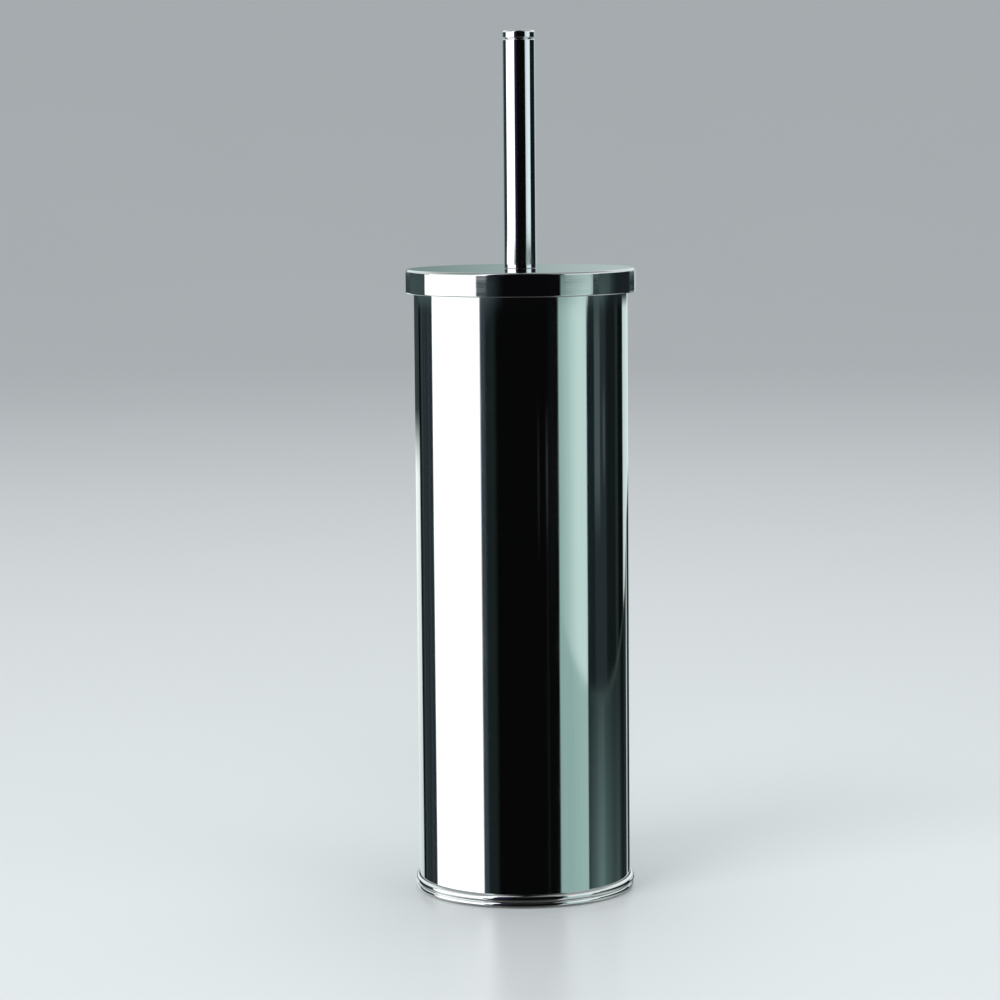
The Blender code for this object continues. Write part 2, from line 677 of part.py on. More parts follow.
def main():
    clear_scene()
    parts = new_collection("toilet_brush_holder")
    helpers = new_collection("cutters")
    finishes = {
        "polished steel": new_material("polished steel", (0.62, 0.64, 0.64), 0.16, 1.0),
        "chrome": new_material("chrome", (0.78, 0.79, 0.80), 0.05, 1.0),
        "plain steel": new_material("plain steel", (0.52, 0.52, 0.51), 0.35, 1.0),
        "brass": new_material("brass", (0.72, 0.56, 0.28), 0.35, 1.0),
        "liner plastic": new_material("liner plastic", (0.05, 0.05, 0.055), 0.45, 0.0),
        "insert plastic": new_material("insert plastic", (0.06, 0.06, 0.06), 0.5, 0.0),
        "core plastic": new_material("core plastic", (0.86, 0.86, 0.84), 0.35, 0.0),
        "bristle": new_material("bristle", (0.90, 0.90, 0.88), 0.5, 0.0),
        "rubber": new_material("rubber", (0.03, 0.03, 0.03), 0.85, 0.0),
    }
    build_canister(parts, finishes)
    build_liner(parts, helpers, finishes)
    build_lid(parts, helpers, finishes)
    build_handle(parts, finishes)
    build_shaft(parts, helpers, finishes)
    build_brush_head(parts, helpers, finishes)
    for piece in parts.objects:
        evened(piece)


main()
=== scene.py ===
"""Studio scene of a toilet brush set: a polished steel canister, its lid, and the brush inside.

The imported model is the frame. Each class below builds one sub-assembly as finer surfaces in
the space of its CAD nodes, dresses them, and lets them ride on the body they belong to.
"""

import json
import logging
import math
from collections.abc import Callable
from dataclasses import dataclass
from enum import Enum

import bpy
import numpy as np
from mathutils import Matrix, Vector


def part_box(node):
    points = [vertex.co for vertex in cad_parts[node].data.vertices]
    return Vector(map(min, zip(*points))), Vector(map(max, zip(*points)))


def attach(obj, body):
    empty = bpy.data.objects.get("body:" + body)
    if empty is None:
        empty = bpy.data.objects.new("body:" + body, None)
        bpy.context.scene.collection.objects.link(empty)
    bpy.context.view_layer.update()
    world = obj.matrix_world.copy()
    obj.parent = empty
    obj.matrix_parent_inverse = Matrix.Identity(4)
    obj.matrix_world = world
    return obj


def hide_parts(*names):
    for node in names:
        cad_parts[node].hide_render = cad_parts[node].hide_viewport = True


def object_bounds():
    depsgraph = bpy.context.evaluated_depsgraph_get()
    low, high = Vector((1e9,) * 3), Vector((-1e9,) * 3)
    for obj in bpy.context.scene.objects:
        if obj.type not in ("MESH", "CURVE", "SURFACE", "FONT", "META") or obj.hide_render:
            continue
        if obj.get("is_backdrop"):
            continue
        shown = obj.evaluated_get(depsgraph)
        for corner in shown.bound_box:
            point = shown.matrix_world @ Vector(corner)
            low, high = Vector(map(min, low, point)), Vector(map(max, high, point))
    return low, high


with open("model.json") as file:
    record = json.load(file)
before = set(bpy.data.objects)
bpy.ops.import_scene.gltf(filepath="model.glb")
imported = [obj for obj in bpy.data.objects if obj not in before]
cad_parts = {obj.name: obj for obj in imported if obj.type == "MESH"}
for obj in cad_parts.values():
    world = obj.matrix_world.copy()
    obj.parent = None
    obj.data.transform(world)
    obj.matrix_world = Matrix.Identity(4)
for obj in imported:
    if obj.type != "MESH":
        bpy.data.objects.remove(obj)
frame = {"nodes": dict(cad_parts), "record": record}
CAD_LOW, CAD_HIGH = (list(corner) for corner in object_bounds())

log = logging.getLogger("toilet_brush_set")

Array = np.ndarray
Relief = Callable[[Array, Array, Array], Array]
Colour = tuple[float, float, float]
Colour4 = tuple[float, float, float, float]
Triple = tuple[float, float, float]
Table = tuple[tuple[float, float], ...]
Socket = bpy.types.NodeSocket
Wire = Socket | float | Triple | Colour4

GOLDEN_ANGLE = math.pi * (3.0 - math.sqrt(5.0))

# How finely surfaces are divided: points on a fillet's arc, corners on a bead and points on
# a straight side, then steps round a wide piece, a slim one and a rib, and at a rib's end.
ARC_POINTS = 7
ARC_CORNERS = 6
SIDE_POINTS = 3
WIDE_SIDES = 288
SLIM_SIDES = 128
RIB_SIDES = 24
RIB_END_STEPS = 5

# A fillet is never smaller than this, in metres, nor uses more of a side than this share.
SMALLEST_FILLET = 0.0001
LARGEST_FILLET_SHARE = 0.49

# Levels on the mirrored room's wall. The lid's skirt mirrors what lies from the foot to the
# head, the tube what lies below that, and the handle what lies above the rod's foot.
LID_FOOT = 0.112
LID_HEAD = 0.160
ROD_FOOT = 0.185


class Body(Enum):
    """The bodies of the frame that move on their own."""

    CANISTER = "canister"
    LINER = "liner"
    LID = "lid"
    BRUSH = "brush"


class Grain(Enum):
    """Which way the polishing lines of a metal run."""

    ALONG = "up and down, along the axis"
    AROUND = "round the axis"

    @property
    def turn(self) -> float:
        """How far the grain turns a highlight's direction, as a share of a whole turn."""
        return 0.0 if self is Grain.ALONG else 0.25


# ---------------- Places in the frame


@dataclass(frozen=True)
class Place:
    """Where a turned CAD node stands: its widest radius, and its lowest and highest level."""

    radius: float
    bottom: float
    top: float

    @classmethod
    def of(cls, node: str) -> "Place":
        """Reads a node's place from the frame.

        Args:
            node: The node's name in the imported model.

        Returns:
            The place, in metres.
        """
        low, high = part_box(node)
        radius = max(high.x - low.x, high.y - low.y) / 2
        return cls(radius, low.z, high.z)


# ---------------- Surfaces


@dataclass
class Skin:
    """A surface as arrays: its points, its faces, and what is known at each point or corner.

    Faces are given by the point at each of their corners and by where each face starts in
    that list. Normals and shades belong to points, and UVs to corners.
    """

    points: Array
    corners: Array
    starts: Array
    uvs: Array
    normals: Array | None = None
    shades: Array | None = None

    def made(self, name: str) -> bpy.types.Object:
        """Makes the skin a mesh object at the origin.

        Args:
            name: The piece's name.

        Returns:
            The new object, linked to the scene.
        """
        mesh = bpy.data.meshes.new(name)
        mesh.vertices.add(len(self.points))
        mesh.loops.add(len(self.corners))
        mesh.polygons.add(len(self.starts))
        mesh.vertices.foreach_set("co", self.points.astype(np.float32).ravel())
        mesh.loops.foreach_set("vertex_index", self.corners.astype(np.int32))
        mesh.polygons.foreach_set("loop_start", self.starts.astype(np.int32))
        mesh.update(calc_edges=True)
        layer = mesh.uv_layers.new(name="around_and_along")
        layer.data.foreach_set("uv", self.uvs.astype(np.float32).ravel())
        if self.shades is not None:
            shade = mesh.attributes.new("shade", "FLOAT", "POINT")
            shade.data.foreach_set("value", self.shades.astype(np.float32))
        mesh.shade_smooth()
        if self.normals is not None:
            mesh.normals_split_custom_set_from_vertices(self.normals.tolist())
        piece = bpy.data.objects.new(name, mesh)
        bpy.context.scene.collection.objects.link(piece)
        return piece


def merged(skins: list[Skin]) -> Skin:
    """Puts several skins into one, each still closed by itself.

    Args:
        skins: The skins. Either all of them have normals, or none keeps them.

    Returns:
        One skin with every face of the others.
    """
    point_counts = np.cumsum([0] + [len(skin.points) for skin in skins[:-1]])
    corner_counts = np.cumsum([0] + [len(skin.corners) for skin in skins[:-1]])
    with_normals = all(skin.normals is not None for skin in skins)
    with_shades = all(skin.shades is not None for skin in skins)
    return Skin(
        np.concatenate([skin.points for skin in skins]),
        np.concatenate([skin.corners + at for skin, at in zip(skins, point_counts)]),
        np.concatenate([skin.starts + at for skin, at in zip(skins, corner_counts)]),
        np.concatenate([skin.uvs for skin in skins]),
        np.concatenate([skin.normals for skin in skins]) if with_normals else None,
        np.concatenate([skin.shades for skin in skins]) if with_shades else None,
    )


def smoothstep(value: Array) -> Array:
    """Eases from 0 to 1 as value goes from 0 to 1: three squares less two cubes."""
    eased = np.clip(value, 0.0, 1.0)
    return eased * eased * (3.0 - 2.0 * eased)


def high_share(level: Array, start: float, soft: float) -> Array:
    """Goes from 0 to 1 across a level, over a soft height, with an axis for colours."""
    return smoothstep((level - start) / soft + 0.5)[..., None]


@dataclass(frozen=True)
class Outline:
    """The half section of a turned piece, which runs so that the material is on its left.

    Each corner is (radius, level, fillet). The outline is a ring, or it starts and ends on
    the axis. A corner's fillet is an arc that touches both of its sides, with its centre on
    the bisector at fillet / sin(half angle) from the corner. Each side then gets evenly
    spaced points between the arcs.
    """

    corners: list[Triple]
    on_axis: bool = False
    side_points: int = SIDE_POINTS

    def traced(self) -> tuple[Array, Array]:
        """Works out the outline's points and the outward normal at each.

        Returns:
            Points and normals, each an array of (radius, level).
        """
        table = np.array(self.corners, float)
        spots, wanted = table[:, :2], np.maximum(table[:, 2], SMALLEST_FILLET)
        to_before = np.roll(spots, 1, axis=0) - spots
        to_after = np.roll(spots, -1, axis=0) - spots
        before_length = np.hypot(*to_before.T)
        after_length = np.hypot(*to_after.T)
        to_before = to_before / before_length[:, None]
        to_after = to_after / after_length[:, None]
        cosine = np.clip((to_before * to_after).sum(axis=1), -0.999999, 0.999999)
        half = np.arccos(cosine) / 2
        # An arc may use up to nearly half of the shorter side.
        room = LARGEST_FILLET_SHARE * np.minimum(before_length, after_length) * np.tan(half)
        fillet = np.minimum(wanted, room)
        bisector = to_before + to_after
        bisector = bisector / np.hypot(*bisector.T)[:, None]
        centres = spots + bisector * (fillet / np.sin(half))[:, None]
        reach = (fillet / np.tan(half))[:, None]
        first = spots + to_before * reach - centres
        last = spots + to_after * reach - centres
        start = np.arctan2(first[:, 1], first[:, 0])
        sweep = np.arctan2(last[:, 1], last[:, 0]) - start
        sweep = (sweep + math.pi) % (2 * math.pi) - math.pi
        share = np.linspace(0.0, 1.0, ARC_POINTS)
        angles = start[:, None] + sweep[:, None] * share
        spokes = np.stack([np.cos(angles), np.sin(angles)], axis=-1)
        arcs = centres[:, None] + spokes * fillet[:, None, None]
        # The arc of a convex corner is swept to the left, and its spokes point outwards.
        arc_normals = spokes * np.sign(sweep)[:, None, None]
        # The sides between one arc's end and the next one's start.
        inner_share = np.linspace(0.0, 1.0, self.side_points + 2)[1:-1]
        ends, starts = arcs[:, -1], np.roll(arcs[:, 0], -1, axis=0)
        if self.on_axis:
            starts[-2] = spots[-1]
            ends[0] = spots[0]
        sides = ends[:, None] + (starts - ends)[:, None] * inner_share[None, :, None]
        side_normals = np.stack([to_after[:, 1], -to_after[:, 0]], axis=-1)
        side_normals = np.repeat(side_normals[:, None], self.side_points, axis=1)
        points = np.concatenate([arcs, sides], axis=1)
        normals = np.concatenate([arc_normals, side_normals], axis=1)
        if not self.on_axis:
            return points.reshape(-1, 2), normals.reshape(-1, 2)
        # On the axis the outline keeps only its two end points, without their arcs.
        inner_points = points[1:-1].reshape(-1, 2)
        inner_normals = normals[1:-1].reshape(-1, 2)
        return (
            np.concatenate([spots[:1], sides[0], inner_points, spots[-1:]]),
            np.concatenate(
                [side_normals[0][:1], side_normals[0], inner_normals, side_normals[-2][:1]]
            ),
        )


@dataclass(frozen=True)
class Rod:
    """The half section of a solid rod with chamfered ends, with points close enough for threads.

    Its levels are given, and its radius is full but for a 45 degree chamfer at both ends.
    """

    radius: float
    levels: Array
    chamfer: float
    on_axis: bool = True

    def traced(self) -> tuple[Array, Array]:
        """Works out the rod's points and the outward normal at each.

        Returns:
            Points and normals, each an array of (radius, level).
        """
        low, high = self.levels[0], self.levels[-1]
        end_gap = np.minimum(self.levels - low, high - self.levels)
        radius = self.radius - np.clip(self.chamfer - end_gap, 0.0, self.chamfer)
        wall = np.stack([radius, self.levels], axis=-1)
        wall_normal = np.tile([1.0, 0.0], (len(wall), 1))
        points = np.concatenate([[[0.0, low]], wall, [[0.0, high]]])
        normals = np.concatenate([[[0.0, -1.0]], wall_normal, [[0.0, 1.0]]])
        return points, normals


def quads_of(stride: int, *corners: tuple[Array, Array]) -> Array:
    """Lists the quads of a grid, each corner at its row times the stride plus its column."""
    return np.stack([row * stride + column for row, column in corners], axis=-1).reshape(-1, 4)


def turned(
    outline: Outline | Rod, sides: int = WIDE_SIDES, relief: Relief | None = None
) -> Skin:
    """Turns an outline about the axis.

    The surface is (r cos a, r sin a, z), for the angle a and the outline's (r, z). A relief
    adds to r at each point. Where the outline ends on the axis, one point closes the skin.

    Args:
        outline: The half section.
        sides: How many steps the angle takes.
        relief: Gives the change of radius for arrays of angle, radius and level.

    Returns:
        The closed skin, with exact normals where there is no relief.
    """
    profile, normal = outline.traced()
    ring, ring_normal = (profile[1:-1], normal[1:-1]) if outline.on_axis else (profile, normal)
    count = len(ring)
    angle = np.arange(sides) * 2 * math.pi / sides
    spin = np.stack([np.cos(angle), np.sin(angle)], axis=-1)
    radius = np.broadcast_to(ring[:, 0], (sides, count))
    level = np.broadcast_to(ring[:, 1], (sides, count))
    if relief is not None:
        radius = radius + relief(angle[:, None], radius, level)
    points = np.concatenate([spin[:, None] * radius[..., None], level[..., None]], axis=-1)
    normals = np.empty((sides, count, 3))
    normals[..., :2] = spin[:, None] * ring_normal[None, :, :1]
    normals[..., 2] = ring_normal[:, 1]

    along = np.arange(count if not outline.on_axis else count - 1)
    here, there = np.arange(sides)[:, None], along[None, :]
    beside, above = (here + 1) % sides, (there + 1) % count
    quads = quads_of(count, (here, there), (beside, there), (beside, above), (here, above))
    u0, u1 = here / sides + 0 * there, (here + 1) / sides + 0 * there
    v0, v1 = there / count + 0 * here, (there + 1) / count + 0 * here
    quad_uvs = np.stack(
        [np.stack(pair, axis=-1) for pair in ((u0, v0), (u1, v0), (u1, v1), (u0, v1))],
        axis=-2,
    ).reshape(-1, 2)
    points, normals = points.reshape(-1, 3), normals.reshape(-1, 3)
    corners = quads.ravel()
    starts = np.arange(len(quads)) * 4
    if outline.on_axis:
        first, last = len(points), len(points) + 1
        poles = np.array([[0.0, 0.0, profile[0, 1]], [0.0, 0.0, profile[-1, 1]]])
        pole_normals = np.array([[0.0, 0.0, normal[0, 1]], [0.0, 0.0, normal[-1, 1]]])
        points = np.concatenate([points, poles])
        normals = np.concatenate([normals, pole_normals])
        here = np.arange(sides)
        beside = (here + 1) % sides
        closing = np.stack([np.full(sides, first), beside * count, here * count], axis=-1)
        opening = np.stack(
            [np.full(sides, last), (here * count + count - 1), (beside * count + count - 1)],
            axis=-1,
        )
        fans = np.concatenate([closing, opening])
        u = (here + 0.5) / sides
        fan_u = np.stack([u, (here + 1) / sides, here / sides], axis=-1)
        fan_v = np.tile([0.0, 1 / count, 1 / count], (sides, 1))
        last_u = np.stack([u, here / sides, (here + 1) / sides], axis=-1)
        last_v = np.tile([1.0, 1 - 1 / count, 1 - 1 / count], (sides, 1))
        fan_uvs = np.concatenate(
            [np.stack([fan_u, fan_v], axis=-1), np.stack([last_u, last_v], axis=-1)]
        ).reshape(-1, 2)
        starts = np.concatenate([starts, len(corners) + np.arange(len(fans)) * 3])
        corners = np.concatenate([corners, fans.ravel()])
        quad_uvs = np.concatenate([quad_uvs, fan_uvs])
    return Skin(points, corners, starts, quad_uvs, None if relief else normals)


def bars(
    count: int, inner: float, outer: float, width: float, bottom: float, top: float, edge: float
) -> Skin:
    """Makes upright ribs that stand round the axis and run outwards.

    One rib is a rounded rectangle, width by height, carried outwards from inner to outer.
    Near both ends the rectangle shrinks along a quarter circle of the edge radius, and one
    point closes it. The ribs are that shape turned by equal angles.

    Args:
        count: How many ribs there are.
        inner: The ribs' start, from the axis.
        outer: The ribs' end, from the axis.
        width: The ribs' thickness.
        bottom: The ribs' foot.
        top: The ribs' crest.
        edge: The radius of every edge.

    Returns:
        The closed ribs as one skin.
    """
    turn = (np.arange(RIB_SIDES) + 0.5) * 2 * math.pi / RIB_SIDES
    quarter = np.linspace(0.0, math.pi / 2, RIB_END_STEPS)
    easing = np.sin(quarter)
    rounding = edge * (1 - np.cos(quarter))
    run = np.concatenate([inner + rounding, outer - rounding[::-1]])
    shrink = edge * (1 - np.concatenate([easing, easing[::-1]]))[:, None]
    half_width, half_height = width / 2 - edge, (top - bottom) / 2 - edge
    across = np.sign(np.cos(turn)) * half_width + (edge - shrink) * np.cos(turn)
    upward = np.sign(np.sin(turn)) * half_height + (edge - shrink) * np.sin(turn)
    along = np.broadcast_to(run[:, None], across.shape)
    body = np.stack([along, across, upward + (top + bottom) / 2], axis=-1)
    ends = np.array([[inner, 0.0, (top + bottom) / 2], [outer, 0.0, (top + bottom) / 2]])
    one = np.concatenate([body.reshape(-1, 3), ends])
    lean = np.concatenate([-np.sqrt(1 - easing**2), np.sqrt(1 - easing[::-1] ** 2)])[:, None]
    flat = np.sqrt(1 - lean**2)
    facing = np.stack([lean + 0 * turn, flat * np.cos(turn), flat * np.sin(turn)], axis=-1)
    facing = np.concatenate([facing.reshape(-1, 3), [[-1.0, 0.0, 0.0], [1.0, 0.0, 0.0]]])
    faces, starts = tube_faces(1, len(run), RIB_SIDES)
    azimuth = np.arange(count) * 2 * math.pi / count
    cosine, sine = np.cos(azimuth)[:, None], np.sin(azimuth)[:, None]

    def all_round(rows: Array) -> Array:
        """Turns one rib's rows about the axis to each rib's azimuth."""
        x, y = rows[None, :, 0], rows[None, :, 1]
        z = np.broadcast_to(rows[None, :, 2], (count, len(rows)))
        ribs = np.stack([x * cosine - y * sine, x * sine + y * cosine, z], axis=-1)
        return ribs.reshape(-1, 3)

    shift = np.arange(count)[:, None]
    corners = (faces[None, :] + shift * len(one)).ravel()
    all_starts = (starts[None, :] + shift * len(faces)).ravel()
    uvs = np.zeros((len(corners), 2))
    return Skin(all_round(one), corners, all_starts, uvs, all_round(facing))


def tube_faces(tubes: int, rings: int, around: int) -> tuple[Array, Array]:
    """Lists the faces of closed tubes that all have the same rings.

    Each tube's points are its rings in order, then its first and last end point.

    Args:
        tubes: How many tubes there are.
        rings: How many rings each has.
        around: How many points each ring has.

    Returns:
        The point at every corner, and where each face starts.
    """
    ring, step = np.meshgrid(np.arange(rings - 1), np.arange(around), indexing="ij")
    beside = (step + 1) % around
    after = ring + 1
    quads = quads_of(around, (ring, step), (ring, beside), (after, beside), (after, step)).ravel()
    step = np.arange(around)
    beside = (step + 1) % around
    first, last = rings * around, rings * around + 1
    foot = np.stack([np.full(around, first), beside, step], axis=-1)
    top_row = (rings - 1) * around
    head = np.stack([np.full(around, last), top_row + step, top_row + beside], axis=-1)
    one = np.concatenate([quads, foot.ravel(), head.ravel()])
    quad_starts = np.arange((rings - 1) * around) * 4
    fan_starts = len(quads) + np.arange(2 * around) * 3
    starts = np.concatenate([quad_starts, fan_starts])
    shift = np.arange(tubes)[:, None]
    corners = one[None, :] + shift * (rings * around + 2)
    return corners.ravel(), (starts[None, :] + shift * len(one)).ravel()


@dataclass(frozen=True)
class Tuft:
    """How a tuft of filaments is made: its hole, its spread and its filaments.

    Attributes:
        filaments: How many filaments it has.
        root_radius: The radius of its hole.
        thickness: A filament's thickness.
        waviness: How far a filament's tip usually bows aside.
        most_bow: How far it bows at most.
        shortest: The shortest filament's length, as a share of the tuft's.
        flare: How late the tuft spreads: the power of the share of its length.
        sides: How many sides a filament has.
        steps: Where its rings lie, as shares of its length.
        taper: Its thickness at each ring, as a share.
    """

    filaments: int = 42
    root_radius: float = 0.0013
    thickness: float = 0.00046
    waviness: float = 0.0011
    most_bow: float = 0.0016
    shortest: float = 0.965
    flare: float = 1.4
    sides: int = 5
    steps: tuple[float, ...] = (0.0, 0.3, 0.62, 0.97, 1.0)
    taper: tuple[float, ...] = (1.0, 1.0, 0.96, 0.9, 0.5)

    def grown(
        self, roots: Array, directions: Array, lengths: Array, spread: float, seed: int
    ) -> Skin:
        """Grows one tuft at each root.

        A filament's centre line is root + length t along the tuft's direction, plus its
        place in the hole times (1 + (spread / hole - 1) t^flare), plus a sideways bow of
        random size times t squared. Places in the hole follow a sunflower pattern. Each
        filament is a thin round tube that narrows to a rounded tip.

        Args:
            roots: Where each tuft leaves the core.
            directions: The unit vector that each tuft follows.
            lengths: How long each tuft is.
            spread: The tuft's radius at its tips.
            seed: The seed for the random bows, lengths and shades.

        Returns:
            The closed filaments as one skin with a shade at each point.
        """
        random = np.random.default_rng(seed)
        tufts = len(roots)
        shape = (tufts, self.filaments)
        index = np.arange(self.filaments) + 0.5
        spin = index * GOLDEN_ANGLE + random.uniform(0, 2 * math.pi, (tufts, 1))
        offset = np.sqrt(index / self.filaments)
        up = np.array([0.0, 0.0, 1.0])
        level = np.array([1.0, 0.0, 0.0])
        steep = np.abs(directions[:, 2:]) > 0.95
        side = np.cross(directions, np.where(steep, level, up))
        side = side / np.linalg.norm(side, axis=1, keepdims=True)
        other = np.cross(directions, side)
        place = (
            np.cos(spin)[..., None] * side[:, None] + np.sin(spin)[..., None] * other[:, None]
        ) * (offset * self.root_radius)[..., None]
        bow = random.normal(0.0, self.waviness, (*shape, 2))
        bow = bow.clip(-self.most_bow, self.most_bow)
        bow = bow[..., :1] * side[:, None] + bow[..., 1:] * other[:, None]
        length = lengths[:, None] * random.uniform(self.shortest, 1.0, shape)
        along = np.array(self.steps)
        widening = 1 + (spread / self.root_radius - 1) * along**self.flare
        centre = (
            roots[:, None, None]
            + directions[:, None, None] * (length[..., None] * along)[..., None]
            + place[:, :, None] * widening[:, None]
            + bow[:, :, None] * (along**2)[:, None]
        )
        turn = np.arange(self.sides) * 2 * math.pi / self.sides
        rim = np.cos(turn)[:, None, None] * side + np.sin(turn)[:, None, None] * other
        rim = np.moveaxis(rim, 0, 1)
        thick = self.thickness / 2 * np.array(self.taper)
        rings = centre[..., None, :] + rim[:, None, None] * thick[:, None, None]
        ends = np.stack([centre[:, :, 0], centre[:, :, -1]], axis=2)
        points = np.concatenate([rings.reshape(*shape, -1, 3), ends], axis=2)
        corners, starts = tube_faces(tufts * self.filaments, len(along), self.sides)
        tone = random.uniform(0.0, 1.0, shape)
        shades = np.repeat(tone.ravel(), len(along) * self.sides + 2)
        return Skin(
            points.reshape(-1, 3), corners, starts, np.zeros((len(corners), 2)), None, shades
        )


# ---------------- Finishes


def slot_colour(slot: str) -> Colour4:
    """Reads a material slot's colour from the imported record, as linear RGB and alpha."""
    rows = {row["slot"]: row for row in frame["record"]["materials"]}
    return (*rows[slot]["base_color"], 1.0)


def shaded(colour: Colour4, *shares: float) -> Colour4:
    """A colour with its parts multiplied, by one share or by one each, up to 1."""
    each = shares * 3 if len(shares) == 1 else shares
    return (*(min(1.0, part * share) for part, share in zip(colour, each)), 1.0)


class Bench:
    """Lays out and wires the nodes of one material, whose points come in metres."""

    def __init__(self, name: str) -> None:
        """Starts a material with one Principled shader.

        Args:
            name: The material's name.
        """
        self.material = bpy.data.materials.new(name)
        self.material.use_nodes = True
        self.tree = self.material.node_tree
        self.shader = self.tree.nodes["Principled BSDF"]
        self.point = self.add("ShaderNodeTexCoord").outputs["Object"]

    def add(
        self, kind: str, wires: dict[str | int, Wire] | None = None, **settings: str
    ) -> bpy.types.Node:
        """Adds a node.

        Args:
            kind: The node's type.
            wires: What each input gets: another node's output, or a constant.
            settings: The node's own properties.

        Returns:
            The node.
        """
        node = self.tree.nodes.new(kind)
        for name, value in settings.items():
            setattr(node, name, value)
        for key, value in (wires or {}).items():
            self.plug(node.inputs[key], value)
        return node

    def plug(self, socket: Socket, value: Wire) -> None:
        """Links an output to a socket, or sets the socket's constant."""
        if isinstance(value, Socket):
            self.tree.links.new(value, socket)
        else:
            socket.default_value = value

    def math(self, operation: str, *values: Wire) -> Socket:
        """The output of a Math node on its one, two or three numbers."""
        wires = dict(enumerate(values))
        return self.add("ShaderNodeMath", wires, operation=operation).outputs[0]

    def blended(self, first: Wire, second: Wire, share: float) -> Socket:
        """The first times a share, plus the second times the rest."""
        rest = self.math("MULTIPLY", second, 1.0 - share)
        return self.math("MULTIPLY_ADD", first, share, rest)

    def stretched(self, level: float, upright: float | None = None) -> Socket:
        """The point multiplied by a pattern's marks to a metre, level and upright."""
        wires = {0: self.point, 1: (level, level, level if upright is None else upright)}
        node = self.add("ShaderNodeVectorMath", wires, operation="MULTIPLY")
        return node.outputs[0]

    def around(self, across: float, along: float) -> Socket:
        """A point whose patterns become long lines round the axis.

        Its third coordinate is the level plus the distance from the axis, so that lines
        lie side by side on a wall and on a flat face alike.

        Args:
            across: Lines to a metre.
            along: How fast a line changes on its way round, to a metre.

        Returns:
            The stretched point.
        """
        parts = self.add("ShaderNodeSeparateXYZ", {0: self.point}).outputs
        square = self.math("MULTIPLY", parts[0], parts[0])
        radius = self.math("SQRT", self.math("MULTIPLY_ADD", parts[1], parts[1], square))
        depth = self.math("MULTIPLY", self.math("ADD", radius, parts[2]), across)
        wide = self.math("MULTIPLY", parts[0], along)
        deep = self.math("MULTIPLY", parts[1], along)
        return self.add("ShaderNodeCombineXYZ", {0: wide, 1: deep, 2: depth}).outputs[0]

    def noise(self, point: Wire, detail: float = 2.0, rough: float = 0.5) -> Socket:
        """Noise from 0 to 1 at a point."""
        wires = {"Vector": point, "Scale": 1.0, "Detail": detail, "Roughness": rough}
        return self.add("ShaderNodeTexNoise", wires).outputs[0]

    def spread(self, value: Wire, low: float, high: float, start: float = 0.3) -> Socket:
        """Maps the middle of a noise, from start to 1 - start, on low to high."""
        wires = {0: value, 1: start, 2: 1.0 - start, 3: low, 4: high}
        return self.add("ShaderNodeMapRange", wires).outputs[0]

    def bumped(self, height: Wire, depth: float, under: Socket | None = None) -> Socket:
        """A normal from a height of 0 to 1 that stands for a depth in metres."""
        wires = {"Height": height, "Distance": depth, "Strength": 1.0}
        if under is not None:
            wires["Normal"] = under
        return self.add("ShaderNodeBump", wires).outputs[0]

    def toned(self, fac: Wire, dark: Colour4, light: Colour4) -> Socket:
        """A colour between two, by a number from 0 to 1."""
        wires = {"Factor": fac, 6: dark, 7: light}
        return self.add("ShaderNodeMix", wires, data_type="RGBA").outputs[2]

    def finish(self, **inputs: Wire) -> bpy.types.Material:
        """Wires the shader's own inputs, and gives the material back."""
        for name, value in inputs.items():
            self.plug(self.shader.inputs[name.replace("_", " ")], value)
        return self.material


@dataclass(frozen=True)
class Weld:
    """A ground and polished weld line that runs up the back of a tube.

    Attributes:
        half_width: Half of the line's width, in metres.
        soft_share: Where the line is at its strongest, as a share of the half width.
        ripples: Ripples of its edge to a metre.
        wander: How far its edge wanders, as a share of the half width.
        dullness: How much rougher the line is.
        height: How far it stands out, in metres.
    """

    half_width: float = 0.0007
    soft_share: float = 0.35
    ripples: float = 900.0
    wander: float = 0.6
    dullness: float = 0.16
    height: float = 0.000012

    def laid(self, bench: Bench, gloss: Wire, normal: Socket) -> tuple[Socket, Socket]:
        """Lays the line over a metal.

        The line is where the distance from the upright plane through the axis falls below
        its half width, on the half that faces away from the front.

        Args:
            bench: The metal's bench.
            gloss: The roughness so far.
            normal: The normal so far.

        Returns:
            The roughness and the normal with the weld.
        """
        half = self.half_width
        parts = bench.add("ShaderNodeSeparateXYZ", {0: bench.point}).outputs
        ripple = bench.noise(bench.stretched(0.0, self.ripples), detail=2.0)
        aside = bench.math("SUBTRACT", ripple, 0.5)
        aside = bench.math("MULTIPLY", aside, half * self.wander)
        offset = bench.math("ABSOLUTE", bench.math("ADD", parts[0], aside))
        wires = {0: offset, 1: half, 2: half * self.soft_share, 3: 0.0, 4: 1.0}
        band = bench.add("ShaderNodeMapRange", wires).outputs[0]
        at_back = bench.math("GREATER_THAN", parts[1], 0.0)
        line = bench.math("MULTIPLY", band, at_back)
        rougher = bench.math("MULTIPLY_ADD", line, self.dullness, gloss)
        return rougher, bench.bumped(line, self.height, normal)


